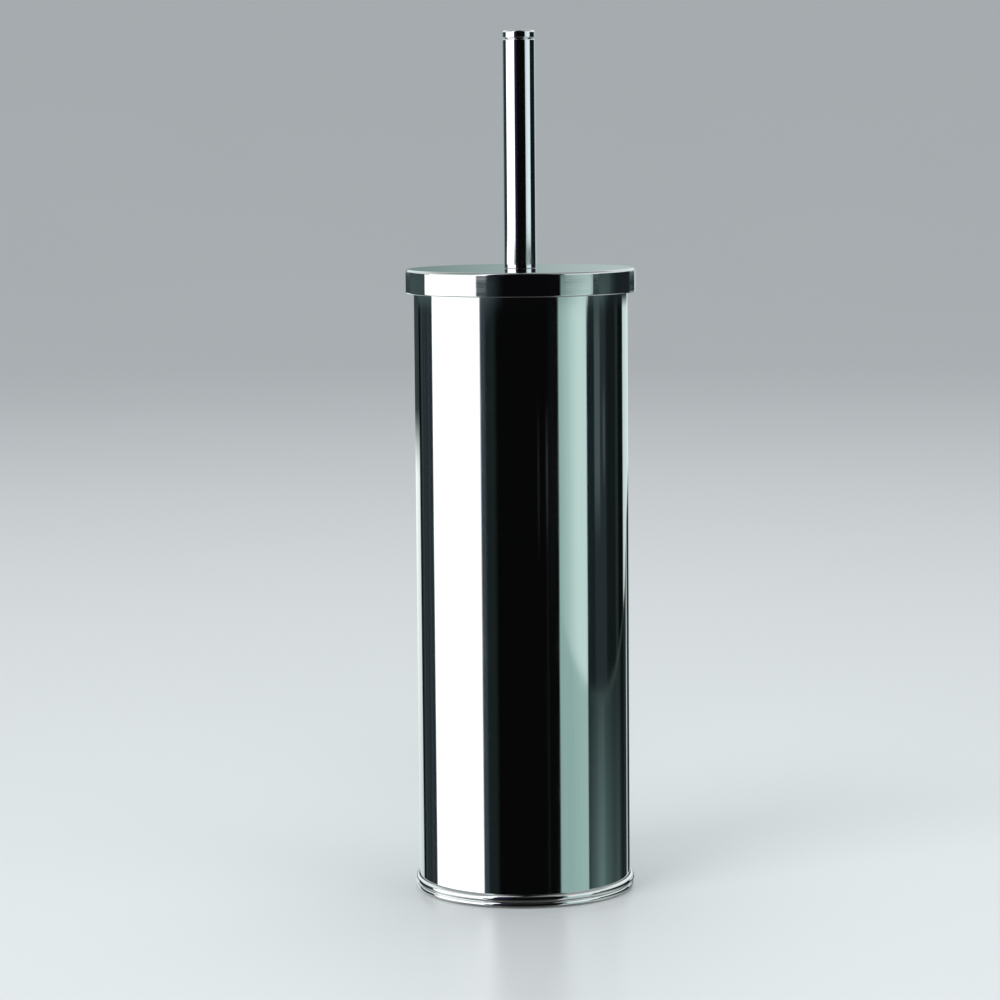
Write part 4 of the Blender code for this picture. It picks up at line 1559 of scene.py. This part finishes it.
@dataclass(frozen=True)
class Shaft:
    """The threaded rod, with the washer and the lock nut that hold the lid on it."""

    rod: Place
    washer: Place
    nut: Place
    chamfer: float = 0.0006
    pitch: float = 0.00125
    thread_depth: float = 0.0006
    thread_below_nut: float = 0.0120
    thread_at_foot: float = 0.0150
    thread_run_out: float = 0.0015
    bore: float = 0.0043
    washer_edge: float = 0.0003
    nut_chamfer: float = 0.0009
    across_flats: float = 0.0130
    nut_slope: float = 0.6
    flat_steps: int = 8
    steps_in_turn: int = 10
    plain_steps: int = 24
    crisp_angle: float = 24.0

    @classmethod
    def from_frame(cls) -> "Shaft":
        """Takes the places of the rod, the washer and the nut from the frame."""
        nodes = ("shaft_rod", "lock_washer", "lock_nut")
        return cls(*(Place.of(node) for node in nodes))

    def thread(self, angle: Array, radius: Array, level: Array) -> Array:
        """Cuts a rolled thread at both ends of the rod.

        The cut is half the thread depth times (1 - cos of the turns climbed so far less
        the angle), where the turns are level / pitch. It eases out over the run-out.

        Args:
            angle: Each point's angle about the axis.
            radius: Its distance from the axis. It is not used.
            level: Its level.

        Returns:
            The change of radius.
        """
        upper = (level - self.nut.bottom + self.thread_below_nut) / self.thread_run_out
        lower = (self.rod.bottom + self.thread_at_foot - level) / self.thread_run_out
        share = np.maximum(smoothstep(upper), smoothstep(lower))
        phase = 2 * math.pi * level / self.pitch - angle
        return -self.thread_depth / 2 * (1 - np.cos(phase)) * share

    def hexagon(self, angle: Array, radius: Array, level: Array) -> Array:
        """Brings a round blank's points in to the six flats of the nut.

        A flat's distance along an angle is the apothem / cos(angle from the flat's middle).

        Args:
            angle: Each point's angle about the axis.
            radius: Its distance from the axis.
            level: Its level. It is not used.

        Returns:
            The change of radius.
        """
        from_middle = (angle + math.pi / 6) % (math.pi / 3) - math.pi / 6
        flat = self.across_flats / 2 / np.cos(from_middle)
        return np.minimum(radius, flat + 0 * radius) - radius

    def nut_outline(self) -> Outline:
        """The round blank that the nut is cut from, chamfered on both faces."""
        corner = self.across_flats / 2 / math.cos(math.pi / 6)
        face = self.across_flats / 2 - self.washer_edge
        low, high = self.nut.bottom, self.nut.top
        slope, edge = self.nut_chamfer * self.nut_slope, self.chamfer / 6
        corners = [
            (self.bore, low, self.washer_edge),
            (face, low, edge),
            (corner, low + slope, edge),
            (corner, high - slope, edge),
            (face, high, edge),
            (self.bore, high, self.washer_edge),
        ]
        return Outline(corners, side_points=self.flat_steps)

    def build(self) -> None:
        """Builds and dresses the rod, the washer and the nut."""
        low, high = self.rod.bottom, self.rod.top
        thread_top = low + self.thread_at_foot
        thread_foot = self.nut.bottom - self.thread_below_nut
        step = self.pitch / self.steps_in_turn
        levels = np.concatenate(
            [
                np.arange(low, thread_top, step),
                np.linspace(thread_top, thread_foot, self.plain_steps)[:-1],
                np.arange(thread_foot, high - step / 2, step),
                [high],
            ]
        )
        blank = Rod(self.rod.radius, levels, self.chamfer)
        rod = turned(blank, SLIM_SIDES // 2, self.thread).made("shaft_threaded_rod")
        fitted(rod, PLAIN_STEEL, Body.BRUSH, "shaft_rod")
        edge = self.washer_edge
        corners = [
            (self.bore, self.washer.bottom, edge),
            (self.washer.radius, self.washer.bottom, edge),
            (self.washer.radius, self.washer.top, edge),
            (self.bore, self.washer.top, edge),
        ]
        ring = Outline(corners)
        washer = turned(ring, SLIM_SIDES).made("shaft_washer")
        fitted(washer, PLAIN_STEEL, Body.BRUSH, "lock_washer")
        nut = turned(self.nut_outline(), WIDE_SIDES, self.hexagon).made("shaft_lock_nut")
        nut.data.set_sharp_from_angle(angle=math.radians(self.crisp_angle))
        fitted(nut, PLAIN_STEEL, Body.BRUSH, "lock_nut")


@dataclass(frozen=True)
class BrushHead:
    """The moulded core and its tufts: eight rows round it and a nose of them below."""

    core: Place
    rows: list[Place]
    tuft: Tuft = Tuft()
    hole_radius: float = 0.0043
    neck_wall: float = 0.0030
    neck_height: float = 0.0020
    cone_height: float = 0.0080
    shoulder: float = 0.0010
    socket_depth: float = 0.0220
    row_pitch: float = 0.0080
    row_groove: float = 0.0003
    tufts_in_row: int = 14
    root_depth: float = 0.0022
    tip_inset: float = 0.0004
    lean_spread: float = 0.03
    edge: float = 0.0004
    row_seed: int = 100
    filament_seed: int = 200
    nose_seed: int = 300
    nose_gap: float = 0.0003
    nose_height: float = 0.0085
    nose_spread: float = 0.0026
    nose_rings: tuple[tuple[int, float, float], ...] = (
        (13, 16.0, 0.0185), (11, 38.0, 0.0215), (6, 64.0, 0.0220), (1, 90.0, 0.0220),
    )

    @classmethod
    def from_frame(cls) -> "BrushHead":
        """Takes the places of the core and every row from the frame."""
        names = sorted(name for name in frame["nodes"] if name.startswith("bristle_row_"))
        return cls(Place.of("brush_core"), [Place.of(name) for name in names])

    def core_outline(self) -> Outline:
        """The core: a barrel grooved between rows, a cone, a neck and a blind socket."""
        radius, low, top = self.core.radius, self.core.bottom, self.core.top
        neck = self.hole_radius + self.neck_wall
        cone_top = top - self.neck_height
        collar = cone_top - self.cone_height
        grooves = []
        for row in reversed(self.rows):
            level = (row.bottom + row.top) / 2 + self.row_pitch / 2
            half, cut = self.row_groove / 2, self.row_groove
            grooves += [
                (radius, level - half, half / 2),
                (radius - cut, level - half, half / 2),
                (radius - cut, level + half, half / 2),
                (radius, level + half, half / 2),
            ]
        corners = [
            (0.0, low, 0.0),
            (radius, low, self.edge),
            *grooves,
            (radius, collar, self.shoulder),
            (neck, cone_top, self.shoulder),
            (neck, top, self.edge),
            (self.hole_radius, top, self.edge / 2),
            (self.hole_radius, top - self.socket_depth, self.edge / 2),
            (0.0, top - self.socket_depth, 0.0),
        ]
        return Outline(corners, on_axis=True, side_points=1)

    def nose_outline(self) -> Outline:
        """The nose: half of a flattened ball below the barrel."""
        radius, top = self.core.radius, self.core.bottom - self.nose_gap
        height = self.nose_height
        ball = rounded_arc(0.0, radius, top, height, -90, 0)
        low = [(0.0, top - height, 0.0)]
        return Outline([*low, *ball, (radius, top, self.edge), (0.0, top, 0.0)], on_axis=True)

    def row_tufts(self, index: int, row: Place) -> Skin:
        """Grows one row of tufts, straight out from the core.

        Args:
            index: The row's number from the top, from 0.
            row: Its place.

        Returns:
            The row's filaments.
        """
        count = self.tufts_in_row
        random = np.random.default_rng(self.row_seed + index)
        azimuth = 2 * math.pi * (np.arange(count) + 0.5 * (index % 2)) / count
        lean = random.uniform(-self.lean_spread, self.lean_spread, (2, count))
        spokes = self.spokes(azimuth + lean[0], lean[1])
        base = self.core.radius - self.root_depth
        level = np.array([0.0, 0.0, (row.bottom + row.top) / 2])
        roots = self.spokes(azimuth, 0 * azimuth) * base + level
        lengths = np.full(count, row.radius - base - self.tip_inset)
        spread = (row.top - row.bottom) / 2 - self.tip_inset
        return self.tuft.grown(roots, spokes, lengths, spread, self.filament_seed + index)

    def nose_tufts(self) -> Skin:
        """Grows the nose's tufts, which fan out and down from its middle.

        Each ring has a number of tufts, how far they lean down and how long they stand.
        """
        centre = np.array([0.0, 0.0, self.core.bottom - self.nose_gap])
        radius, height = self.core.radius, self.nose_height
        count, lean, reach = (np.array(column) for column in zip(*self.nose_rings))
        azimuth = np.concatenate([2 * math.pi * (np.arange(n) + 0.5) / n for n in count])
        down = np.radians(np.repeat(lean, count))
        spokes = self.spokes(azimuth, down)
        surface = np.hypot(radius * np.cos(down), height * np.sin(down))
        roots = centre + spokes * (surface - self.root_depth)[:, None]
        lengths = np.repeat(reach, count) + self.root_depth - self.tip_inset
        return self.tuft.grown(roots, spokes, lengths, self.nose_spread, self.nose_seed)

    @staticmethod
    def spokes(azimuth: Array, down: Array) -> Array:
        """Unit vectors out from the axis at each azimuth, leaning down by an angle."""
        level = np.cos(down)
        return np.stack(
            [np.cos(azimuth) * level, np.sin(azimuth) * level, -np.sin(down)], axis=-1
        )

    def build(self) -> None:
        """Builds the core, the nose and every row of tufts."""
        core = turned(self.core_outline(), SLIM_SIDES).made("brush_moulded_core")
        fitted(core, CORE_PLASTIC, Body.BRUSH, "brush_core")
        dome = turned(self.nose_outline(), SLIM_SIDES).made("brush_moulded_nose")
        fitted(dome, CORE_PLASTIC, Body.BRUSH)
        fan = self.nose_tufts().made("brush_nose_tufts")
        fitted(fan, FILAMENT, Body.BRUSH, "bristle_nose")
        for index, row in enumerate(self.rows):
            tufts = self.row_tufts(index, row).made(f"brush_tufts_row_{index + 1}")
            fitted(tufts, FILAMENT, Body.BRUSH, f"bristle_row_{index + 1}")


# ---------------- Studio


@dataclass(frozen=True)
class Panel:
    """An upright panel of the room that the metal mirrors, with soft edges.

    Azimuths are in degrees from the front, and positive to the right. The foot and the
    head are levels on the wall of the room, in metres above the floor.
    """

    start: float
    end: float
    glow: Colour = (1.0, 1.0, 1.0)
    soft_start: float = 2.0
    soft_end: float = 2.0
    foot: float = -9.0
    head: float = 9.0
    soft_level: float = 0.01

    def share(self, azimuth: Array, level: Array) -> Array:
        """How much of the panel shows in each direction, eased over its soft edges."""
        risen = smoothstep((azimuth - self.start) / self.soft_start + 0.5)
        fallen = smoothstep((azimuth - self.end) / self.soft_end + 0.5)
        above_foot = smoothstep((level - self.foot) / self.soft_level + 0.5)
        above_head = smoothstep((level - self.head) / self.soft_level + 0.5)
        return risen * (1.0 - fallen) * above_foot * (1.0 - above_head)


@dataclass(frozen=True)
class Ease:
    """A smooth change from 0 to 1 past a start. A negative width makes it go downwards."""

    start: float
    width: float

    def share(self, value: Array) -> Array:
        """How far the change has come at each value."""
        return smoothstep((value - self.start) / self.width)


@dataclass(frozen=True)
class Cap:
    """A glow that covers everything past a level of the room, but spares the front."""

    ease: Ease
    glow: Colour
    spared: float

    def share(self, level: Array, front: Array) -> Array:
        """How much of the cap shows at each level, given how far each spot is in front."""
        return self.ease.share(level) * (1 - self.spared * front)


def mixed(first: Array | Colour, second: Array | Colour, share: Array) -> Array:
    """The first colour turned to the second by a share."""
    return np.asarray(first) * (1 - share) + np.asarray(second) * share


@dataclass(frozen=True)
class Room:
    """The room that the metal mirrors: a glowing ball round the object, seen by gloss only.

    Azimuths are as in Panel. Levels are heights on a wall of the room, from the sine of the
    elevation by level_gain and level_lift. A table's edge crosses the right side, and the
    tables give its level and the tone under it by azimuth.
    """

    axis: tuple[float, float]
    floor_level: float
    radius: float = 7.2
    steps_round: int = 720
    level_gain: float = 3.72
    level_lift: float = 0.164
    rows: Table = (
        (0, -89.9), (12, -25.0), (26, -14.5), (46, -9.0), (106, -4.0), (130, 1.6),
        (162, 4.2), (172, 9.0), (182, 25.0), (196, 89.9),
    )
    dark: Colour = (0.0028, 0.0033, 0.0030)
    left_panels: tuple[Panel, ...] = (
        Panel(-139.5, -109.0, (0.028, 0.039, 0.046), 3.0, 2.0),
        Panel(-136.0, -133.5, (0.060, 0.072, 0.080), 2.0, 2.0),
        Panel(-128.5, -127.0, (0.048, 0.058, 0.066), 1.5, 1.5),
        Panel(-121.0, -117.0, (0.046, 0.058, 0.070), 3.0, 3.0),
        Panel(-152.0, -112.5, (0.078, 0.117, 0.120), 14.0, 1.6, LID_FOOT, LID_HEAD),
        Panel(-111.0, -44.8, (1.90, 1.95, 2.00), 1.6, 2.2),
        Panel(-130.0, -103.0, (0.030, 0.042, 0.052), 3.0, 3.0, ROD_FOOT),
        Panel(-60.0, -33.0, (1.90, 1.92, 2.05), 2.0, 5.0, ROD_FOOT),
        Panel(-34.0, -18.0, (0.022, 0.019, 0.042), 4.0, 12.0, ROD_FOOT),
        Panel(-44.0, -37.5, (0.052, 0.074, 0.092), 2.0, 6.0, head=LID_FOOT),
        Panel(-39.0, -28.0, (0.015, 0.022, 0.023), 4.0, 6.0, head=LID_FOOT),
        Panel(-40.0, 39.0, (0.0048, 0.0046, 0.0060), 4.0, 3.0, LID_FOOT, LID_HEAD),
        Panel(-44.0, -27.0, (0.060, 0.086, 0.098), 2.0, 22.0, LID_FOOT, LID_HEAD),
    )
    front_panels: tuple[Panel, ...] = (
        Panel(16.9, 18.3, (0.022, 0.024, 0.023), 1.0, 1.0, -0.20, -0.06, 0.10),
        Panel(25.8, 27.9, (0.034, 0.045, 0.044), 1.0, 1.0, -0.20, -0.06, 0.10),
        Panel(25.8, 27.9, (0.008, 0.010, 0.010), 1.0, 1.0, head=-0.20, soft_level=0.2),
    )
    right_panels: tuple[Panel, ...] = (
        Panel(29.0, 37.0, (0.0062, 0.0064, 0.0074), 3.0, 5.0, -0.30, LID_FOOT, 0.1),
        Panel(40.0, 74.2, (0.42, 0.63, 0.59), 1.4, 1.4, head=LID_FOOT),
        Panel(52.0, 74.2, (0.80, 1.03, 1.00), 28.0, 1.4, head=LID_FOOT),
        Panel(40.0, 76.8, (0.33, 0.48, 0.46), 2.4, 1.4, LID_FOOT, LID_HEAD),
        Panel(56.0, 76.8, (0.69, 0.90, 0.88), 30.0, 1.4, LID_FOOT, LID_HEAD),
        Panel(45.0, 85.0, (0.76, 0.88, 0.92), 2.0, 3.0, ROD_FOOT),
        Panel(58.0, 85.0, (0.92, 1.10, 1.14), 20.0, 3.0, ROD_FOOT),
        Panel(74.2, 145.0, (0.0125, 0.021, 0.0275), 1.4, 2.0, head=LID_FOOT),
        Panel(84.9, 103.0, (0.030, 0.040, 0.046), 1.4, 1.8, head=LID_FOOT),
        Panel(84.9, 93.2, (0.092, 0.128, 0.130), 1.6, 1.6, -0.17, LID_FOOT, 0.12),
        Panel(98.0, 101.0, (0.085, 0.115, 0.120), 2.0, 2.0, -0.12, -0.02, 0.08),
        Panel(105.0, 120.5, (0.010, 0.015, 0.015), 6.0, 1.2, head=LID_FOOT),
        Panel(121.0, 127.0, (0.026, 0.034, 0.034), 1.4, 1.4, head=LID_FOOT),
        Panel(127.6, 144.0, (0.004, 0.007, 0.008), 1.4, 1.6, head=LID_FOOT),
        Panel(76.8, 160.0, (0.050, 0.082, 0.082), 1.4, 4.0, LID_FOOT, LID_HEAD),
        Panel(84.0, 100.0, (0.094, 0.140, 0.142), 4.0, 8.0, LID_FOOT, LID_HEAD),
        Panel(106.0, 142.0, (0.018, 0.025, 0.031), 14.0, 10.0, LID_FOOT, LID_HEAD),
        Panel(84.0, 143.0, (0.006, 0.010, 0.014), 3.0, 3.0, ROD_FOOT),
        Panel(128.0, 143.0, (0.020, 0.035, 0.040), 10.0, 3.0, ROD_FOOT),
    )
    table_edge: Table = (
        (41.0, -0.312), (53.6, -0.364), (68.0, -0.396), (82.0, -0.414), (96.0, -0.416),
        (107.0, -0.405), (119.0, -0.383), (129.0, -0.352), (139.0, -0.313), (146.0, -0.281),
        (150.0, -0.225), (158.0, -0.17), (170.0, -0.12),
    )
    slope_tone: Table = (
        (76.0, 0.05), (80.0, 0.08), (84.0, 0.10), (90.0, 0.15), (96.0, 0.165), (101.0, 0.108),
        (108.0, 0.086), (116.0, 0.060), (121.0, 0.068), (126.0, 0.074), (134.0, 0.019),
        (147.0, 0.015),
    )
    table_soft: float = 0.008
    slope_colour: Colour = (0.64, 1.0, 1.0)
    pale_slope: tuple[Colour, Colour] = ((0.40, 0.61, 0.585), (0.48, 0.70, 0.65))
    paler: Ease = Ease(45.0, 30.0)
    slope_level: float = -0.447
    slope_share: float = 0.75
    slope_rate: float = 3.5
    slope_limits: tuple[float, float] = (0.65, 2.2)
    on_pale: Panel = Panel(40.0, 74.2, soft_start=1.4, soft_end=1.4)
    on_grey: Panel = Panel(74.2, 147.0, soft_start=1.4, soft_end=3.0)
    on_rim: Panel = Panel(80.0, 150.0, (0.075, 0.105, 0.105), 10.0, 4.0)
    rim_share: float = 0.7
    rim_drop: float = 0.008
    rim_half: float = 0.007
    front: Panel = Panel(-46.0, 40.0, soft_start=8.0, soft_end=6.0)
    ceiling_left: Panel = Panel(-178.0, -48.0, (1.00, 1.06, 1.06), 8.0, 8.0)
    ceiling_right: Panel = Panel(48.0, 178.0, (1.00, 1.06, 1.06), 8.0, 8.0)
    ceiling: Ease = Ease(0.55, 0.35)
    zenith: Cap = Cap(Ease(2.3, 0.4), (0.40, 0.43, 0.43), 0.93)
    pale_floor: Cap = Cap(Ease(-0.9, -1.2), (0.60, 0.63, 0.62), 0.93)
    nadir: Cap = Cap(Ease(-2.45, -0.4), (0.10, 0.11, 0.11), 0.7)
    behind_middle: float = -2.0
    behind_half: float = 143.4
    behind_soft: float = 3.0
    behind_lean: Ease = Ease(4.0, -8.0)
    off_middle: Ease = Ease(7.0, 6.0)
    far_right: Ease = Ease(-20.0, 3.0)
    edge_soft: float = 0.03
    lid_soft: float = 0.01
    left_fade: tuple[float, float] = (-0.13, 0.57)
    left_dim_foot: tuple[float, float] = (-0.08, 0.10)
    left_lit: tuple[Colour, Colour] = ((1.12, 1.20, 1.20), (0.74, 0.86, 0.85))
    left_dim: Colour = (0.045, 0.062, 0.065)
    left_high: Colour = (0.28, 0.36, 0.38)
    right_lit: Colour = (0.80, 0.95, 0.94)
    right_at_lid: tuple[Colour, Colour] = ((0.022, 0.033, 0.037), (0.62, 0.72, 0.72))
    right_high: Colour = (0.55, 0.66, 0.66)
    right_low: Colour = (0.022, 0.032, 0.032)
    upright_line: Panel = Panel(151.0, 155.4, (0.62, 0.70, 0.70))
    middle: tuple[Colour, Colour] = ((0.155, 0.24, 0.225), (0.52, 0.62, 0.61))

    def behind(self, azimuth: Array, level: Array, edge: Array) -> Array:
        """Works out what the room sends from behind the object.

        Nearly straight behind, it is grey-green and lighter to the right. Towards the left
        it is dark at the lid's height and bright lower down. Towards the right it is
        bright, but dark at the lid's height and below the edge of the table, where one
        thin upright line shines.

        Args:
            azimuth: Degrees from the front, from -180 to 180.
            level: The height on the wall.
            edge: The height of the table's edge at each azimuth.

        Returns:
            Linear RGB for each direction.
        """
        across = np.where(azimuth > 0, azimuth - 180.0, azimuth + 180.0)
        high = high_share(level, LID_HEAD, self.lid_soft)
        at_lid = high_share(level, LID_FOOT, self.lid_soft) * (1.0 - high)
        fade_top, fade_height = self.left_fade
        depth = np.clip((fade_top - level) / fade_height, 0.0, 1.0)[..., None]
        dim = high_share(level, *self.left_dim_foot)
        left = mixed(mixed(*self.left_lit, depth), self.left_dim, dim)
        left = mixed(left, self.left_high, high)
        far = self.far_right.share(across)[..., None]
        right = mixed(self.right_lit, mixed(*self.right_at_lid, far), at_lid)
        right = mixed(right, self.right_high, high)
        below = smoothstep((edge - level) / self.edge_soft + 0.5)[..., None]
        line = self.upright_line.share(azimuth, level)[..., None]
        under = np.array(self.right_low) + np.array(self.upright_line.glow) * line
        right = mixed(right, under, below)
        lean = self.behind_lean.share(across)[..., None]
        middle = (1.0 - self.off_middle.share(np.abs(across)))[..., None] * high
        return mixed(mixed(left, right, lean), mixed(*self.middle, lean), middle)

    def glow(self, azimuth: Array, level: Array) -> Array:
        """Works out what the room sends from each direction.

        Panels are laid over a dark room in order, each by its share. Below the edge of the
        table, whose height bends with the azimuth, the right side turns to a grey slope
        that grows lighter downwards. High on both sides and behind there are soft ceiling
        boxes. Far down everything but the front turns to the pale floor.

        Args:
            azimuth: Degrees from the front, from -180 to 180.
            level: The height on a wall of the room, in metres.

        Returns:
            Linear RGB for each direction.
        """
        glow = np.broadcast_to(np.array(self.dark), (*azimuth.shape, 3))

        def laid(share: Array, colour: Array | Colour) -> Array:
            """The glow with a colour laid over it by a share."""
            return glow + (np.asarray(colour) - glow) * share[..., None]

        for panel in (*self.left_panels, *self.front_panels, *self.right_panels):
            glow = laid(panel.share(azimuth, level), panel.glow)

        # The right side below the edge of the table, and the light rim of that edge.
        edge = np.interp(azimuth, *zip(*self.table_edge))
        below = smoothstep((edge - level) / self.table_soft + 0.5)
        pale = mixed(*self.pale_slope, self.paler.share(azimuth)[..., None])
        tone = np.interp(azimuth, *zip(*self.slope_tone))
        lighter = self.slope_share + self.slope_rate * (self.slope_level - level)
        tone = tone * np.clip(lighter, *self.slope_limits)
        glow = laid(self.on_pale.share(azimuth, level) * below, pale)
        grey = tone[..., None] * np.array(self.slope_colour)
        glow = laid(self.on_grey.share(azimuth, level) * below, grey)
        rim = np.exp(-(((level - edge + self.rim_drop) / self.rim_half) ** 2))
        glow = laid(self.rim_share * rim * self.on_rim.share(azimuth, level), self.on_rim.glow)

        aside = np.abs(azimuth - self.behind_middle) - self.behind_half
        behind = smoothstep(aside / self.behind_soft + 0.5)
        glow = laid(behind, self.behind(azimuth, level, edge))

        # Ceiling boxes high on the left, the right and behind, but none over the front.
        left = self.ceiling_left.share(azimuth, level)
        right = self.ceiling_right.share(azimuth, level)
        high = self.ceiling.share(level)
        glow = laid(high * np.maximum(left, right), self.ceiling_left.glow)
        front = self.front.share(azimuth, level)
        for cap in (self.zenith, self.pale_floor, self.nadir):
            glow = laid(cap.share(level, front), cap.glow)
        return glow

    def skin(self, azimuth: Array, elevation: Array) -> Skin:
        """Works out the ball, which faces inwards.

        Its points are radius (cos e sin a, -cos e cos a, sin e) for azimuth a and elevation
        e, on a grid that closes round the azimuth.

        Args:
            azimuth: Each point's azimuth in radians, azimuths by elevations.
            elevation: Each point's elevation in radians.

        Returns:
            The skin.
        """
        reach = self.radius * np.cos(elevation)
        x = self.axis[0] + reach * np.sin(azimuth)
        y = self.axis[1] - reach * np.cos(azimuth)
        z = self.floor_level + self.radius * np.sin(elevation)
        points = np.stack([x, y, z], axis=-1)
        across, up = azimuth.shape
        row = np.arange(across)[:, None]
        column = np.arange(up - 1)[None, :]
        beside = (row + 1) % across
        above = column + 1
        quads = quads_of(up, (row, column), (row, above), (beside, above), (beside, column))
        starts = np.arange(len(quads)) * 4
        return Skin(points.reshape(-1, 3), quads.ravel(), starts, np.zeros((quads.size, 2)))

    def build(self) -> None:
        """Hangs the ball, whose rows are closest where the metal mirrors the most detail."""
        azimuth = np.linspace(-180.0, 180.0, self.steps_round, endpoint=False)
        elevation = np.interp(np.arange(int(self.rows[-1][0]) + 1), *zip(*self.rows))
        azimuth, elevation = np.meshgrid(azimuth, np.radians(elevation), indexing="ij")
        glow = self.glow(azimuth, self.level_gain * np.sin(elevation) + self.level_lift)
        room = self.skin(np.radians(azimuth), elevation).made("studio_room")
        layer = room.data.color_attributes.new("glow", "FLOAT_COLOR", "POINT")
        opaque = np.ones((*glow.shape[:2], 1))
        rgba = np.concatenate([glow, opaque], axis=-1).astype(np.float32)
        layer.data.foreach_set("color", rgba.ravel())
        bench = Bench("studio_room_glow")
        colour = bench.add("ShaderNodeVertexColor", layer_name="glow").outputs["Color"]
        emission = bench.add("ShaderNodeEmission", {"Color": colour, "Strength": 1.0})
        output = bench.tree.nodes["Material Output"]
        bench.plug(output.inputs["Surface"], emission.outputs[0])
        bench.material.cycles.emission_sampling = "NONE"
        room.data.materials.append(bench.material)
        room.visible_camera = False
        room.visible_diffuse = False
        room.visible_shadow = False
        room.visible_transmission = False
        room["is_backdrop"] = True


@dataclass(frozen=True)
class Lamp:
    """A soft square lamp that only lights, and isn't mirrored."""

    name: str
    place: Triple
    size: float
    power: float
    colour: Colour = (1.0, 1.0, 1.0)


@dataclass(frozen=True)
class Studio:
    """The camera, the pale floor, the soft lamps and the room that the metal mirrors.

    The camera's angles are in degrees, and its lens and sensor in millimetres.
    """

    axis: tuple[float, float]
    floor_level: float
    camera_distance: float = 1.4263
    camera_height: float = 0.3309
    camera_lens: float = 117.8
    camera_tilt: float = 6.367
    camera_turn: float = 0.39
    camera_roll: float = -0.48
    sensor_width: float = 36.0
    clip: tuple[float, float] = (0.05, 50.0)
    sweep_radius: float = 6.5
    sweep_height: float = 7.0
    sweep_fillet: float = 4.4
    sweep_sheet: float = 0.02
    world_colour: Colour4 = (0.93, 0.97, 1.0, 1.0)
    world_strength: float = 0.62
    lamps: tuple[Lamp, ...] = (
        Lamp("key_lamp", (-1.3, -1.5, 1.9), 1.3, 34.0),
        Lamp("fill_lamp", (1.7, -1.1, 1.2), 1.5, 9.0),
        Lamp("top_lamp", (0.1, 0.5, 2.3), 1.8, 22.0),
    )
    lamp_target: float = 0.15

    @classmethod
    def from_frame(cls) -> "Studio":
        """Centres the studio on the canister's axis, with its floor under the object."""
        low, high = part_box("canister_shell")
        axis = ((low.x + high.x) / 2, (low.y + high.y) / 2)
        return cls(axis, CAD_LOW[2])

    def place_camera(self) -> None:
        """Makes the camera, turned and tilted as its angles say, with all in focus."""
        data = bpy.data.cameras.new("studio_camera")
        data.lens = self.camera_lens
        data.sensor_width = self.sensor_width
        data.clip_start, data.clip_end = self.clip
        camera = bpy.data.objects.new("studio_camera", data)
        bpy.context.scene.collection.objects.link(camera)
        turn, tilt = math.radians(self.camera_turn), math.radians(self.camera_tilt)
        reach = math.cos(tilt)
        forward = Vector((-math.sin(turn) * reach, math.cos(turn) * reach, -math.sin(tilt)))
        right = Vector((math.cos(turn), math.sin(turn), 0.0))
        upward = right.cross(forward)
        facing = Matrix((right, upward, -forward)).transposed().to_4x4()
        roll = Matrix.Rotation(math.radians(self.camera_roll), 4, "Z")
        x, y = self.axis
        spot = Vector((x, y - self.camera_distance, self.floor_level + self.camera_height))
        camera.matrix_world = Matrix.Translation(spot) @ facing @ roll
        bpy.context.scene.camera = camera

    def lay_floor(self) -> None:
        """Lays a round floor that sweeps up into a wall, so that no horizon shows."""
        level, rim = self.floor_level, self.sweep_radius
        sheet, height = self.sweep_sheet, self.sweep_height
        corners = [
            (0.0, level - sheet, 0.0),
            (rim + sheet, level - sheet, 0.0),
            (rim + sheet, level + height, 0.0),
            (rim, level + height, 0.0),
            (rim, level, self.sweep_fillet),
            (0.0, level, 0.0),
        ]
        outline = Outline(corners, on_axis=True, side_points=1)
        floor = turned(outline, WIDE_SIDES).made("studio_floor")
        floor.data.materials.append(Board().material())
        floor.visible_glossy = False
        floor.visible_diffuse = False
        floor.visible_shadow = False
        floor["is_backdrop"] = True

    def hang_lamps(self) -> None:
        """Hangs the soft lamps and sets the even light of the world."""
        target = Vector((*self.axis, self.lamp_target))
        for lamp in self.lamps:
            data = bpy.data.lights.new(lamp.name, "AREA")
            data.size = lamp.size
            data.energy = lamp.power
            data.color = lamp.colour
            light = bpy.data.objects.new(lamp.name, data)
            bpy.context.scene.collection.objects.link(light)
            light.location = lamp.place
            away = Vector(lamp.place) - target
            light.rotation_euler = away.to_track_quat("Z", "Y").to_euler()
            light.visible_glossy = False
            light.visible_camera = False
        world = bpy.data.worlds.new("studio_world")
        bpy.context.scene.world = world
        world.use_nodes = True
        background = world.node_tree.nodes["Background"]
        background.inputs["Color"].default_value = self.world_colour
        background.inputs["Strength"].default_value = self.world_strength

    def build(self) -> None:
        """Sets up the whole studio."""
        bpy.context.scene.view_settings.view_transform = "Standard"
        self.place_camera()
        self.lay_floor()
        Room(self.axis, self.floor_level).build()
        self.hang_lamps()
        log.info("studio: camera, floor, room and lamps are up")


def main() -> None:
    """Builds the studio and every sub-assembly, in order."""
    logging.basicConfig(level=logging.INFO, format="%(message)s")
    for part in (Studio, Canister, Liner, Lid, Handle, Shaft, BrushHead):
        part.from_frame().build()


if __name__ == "__main__":
    main()
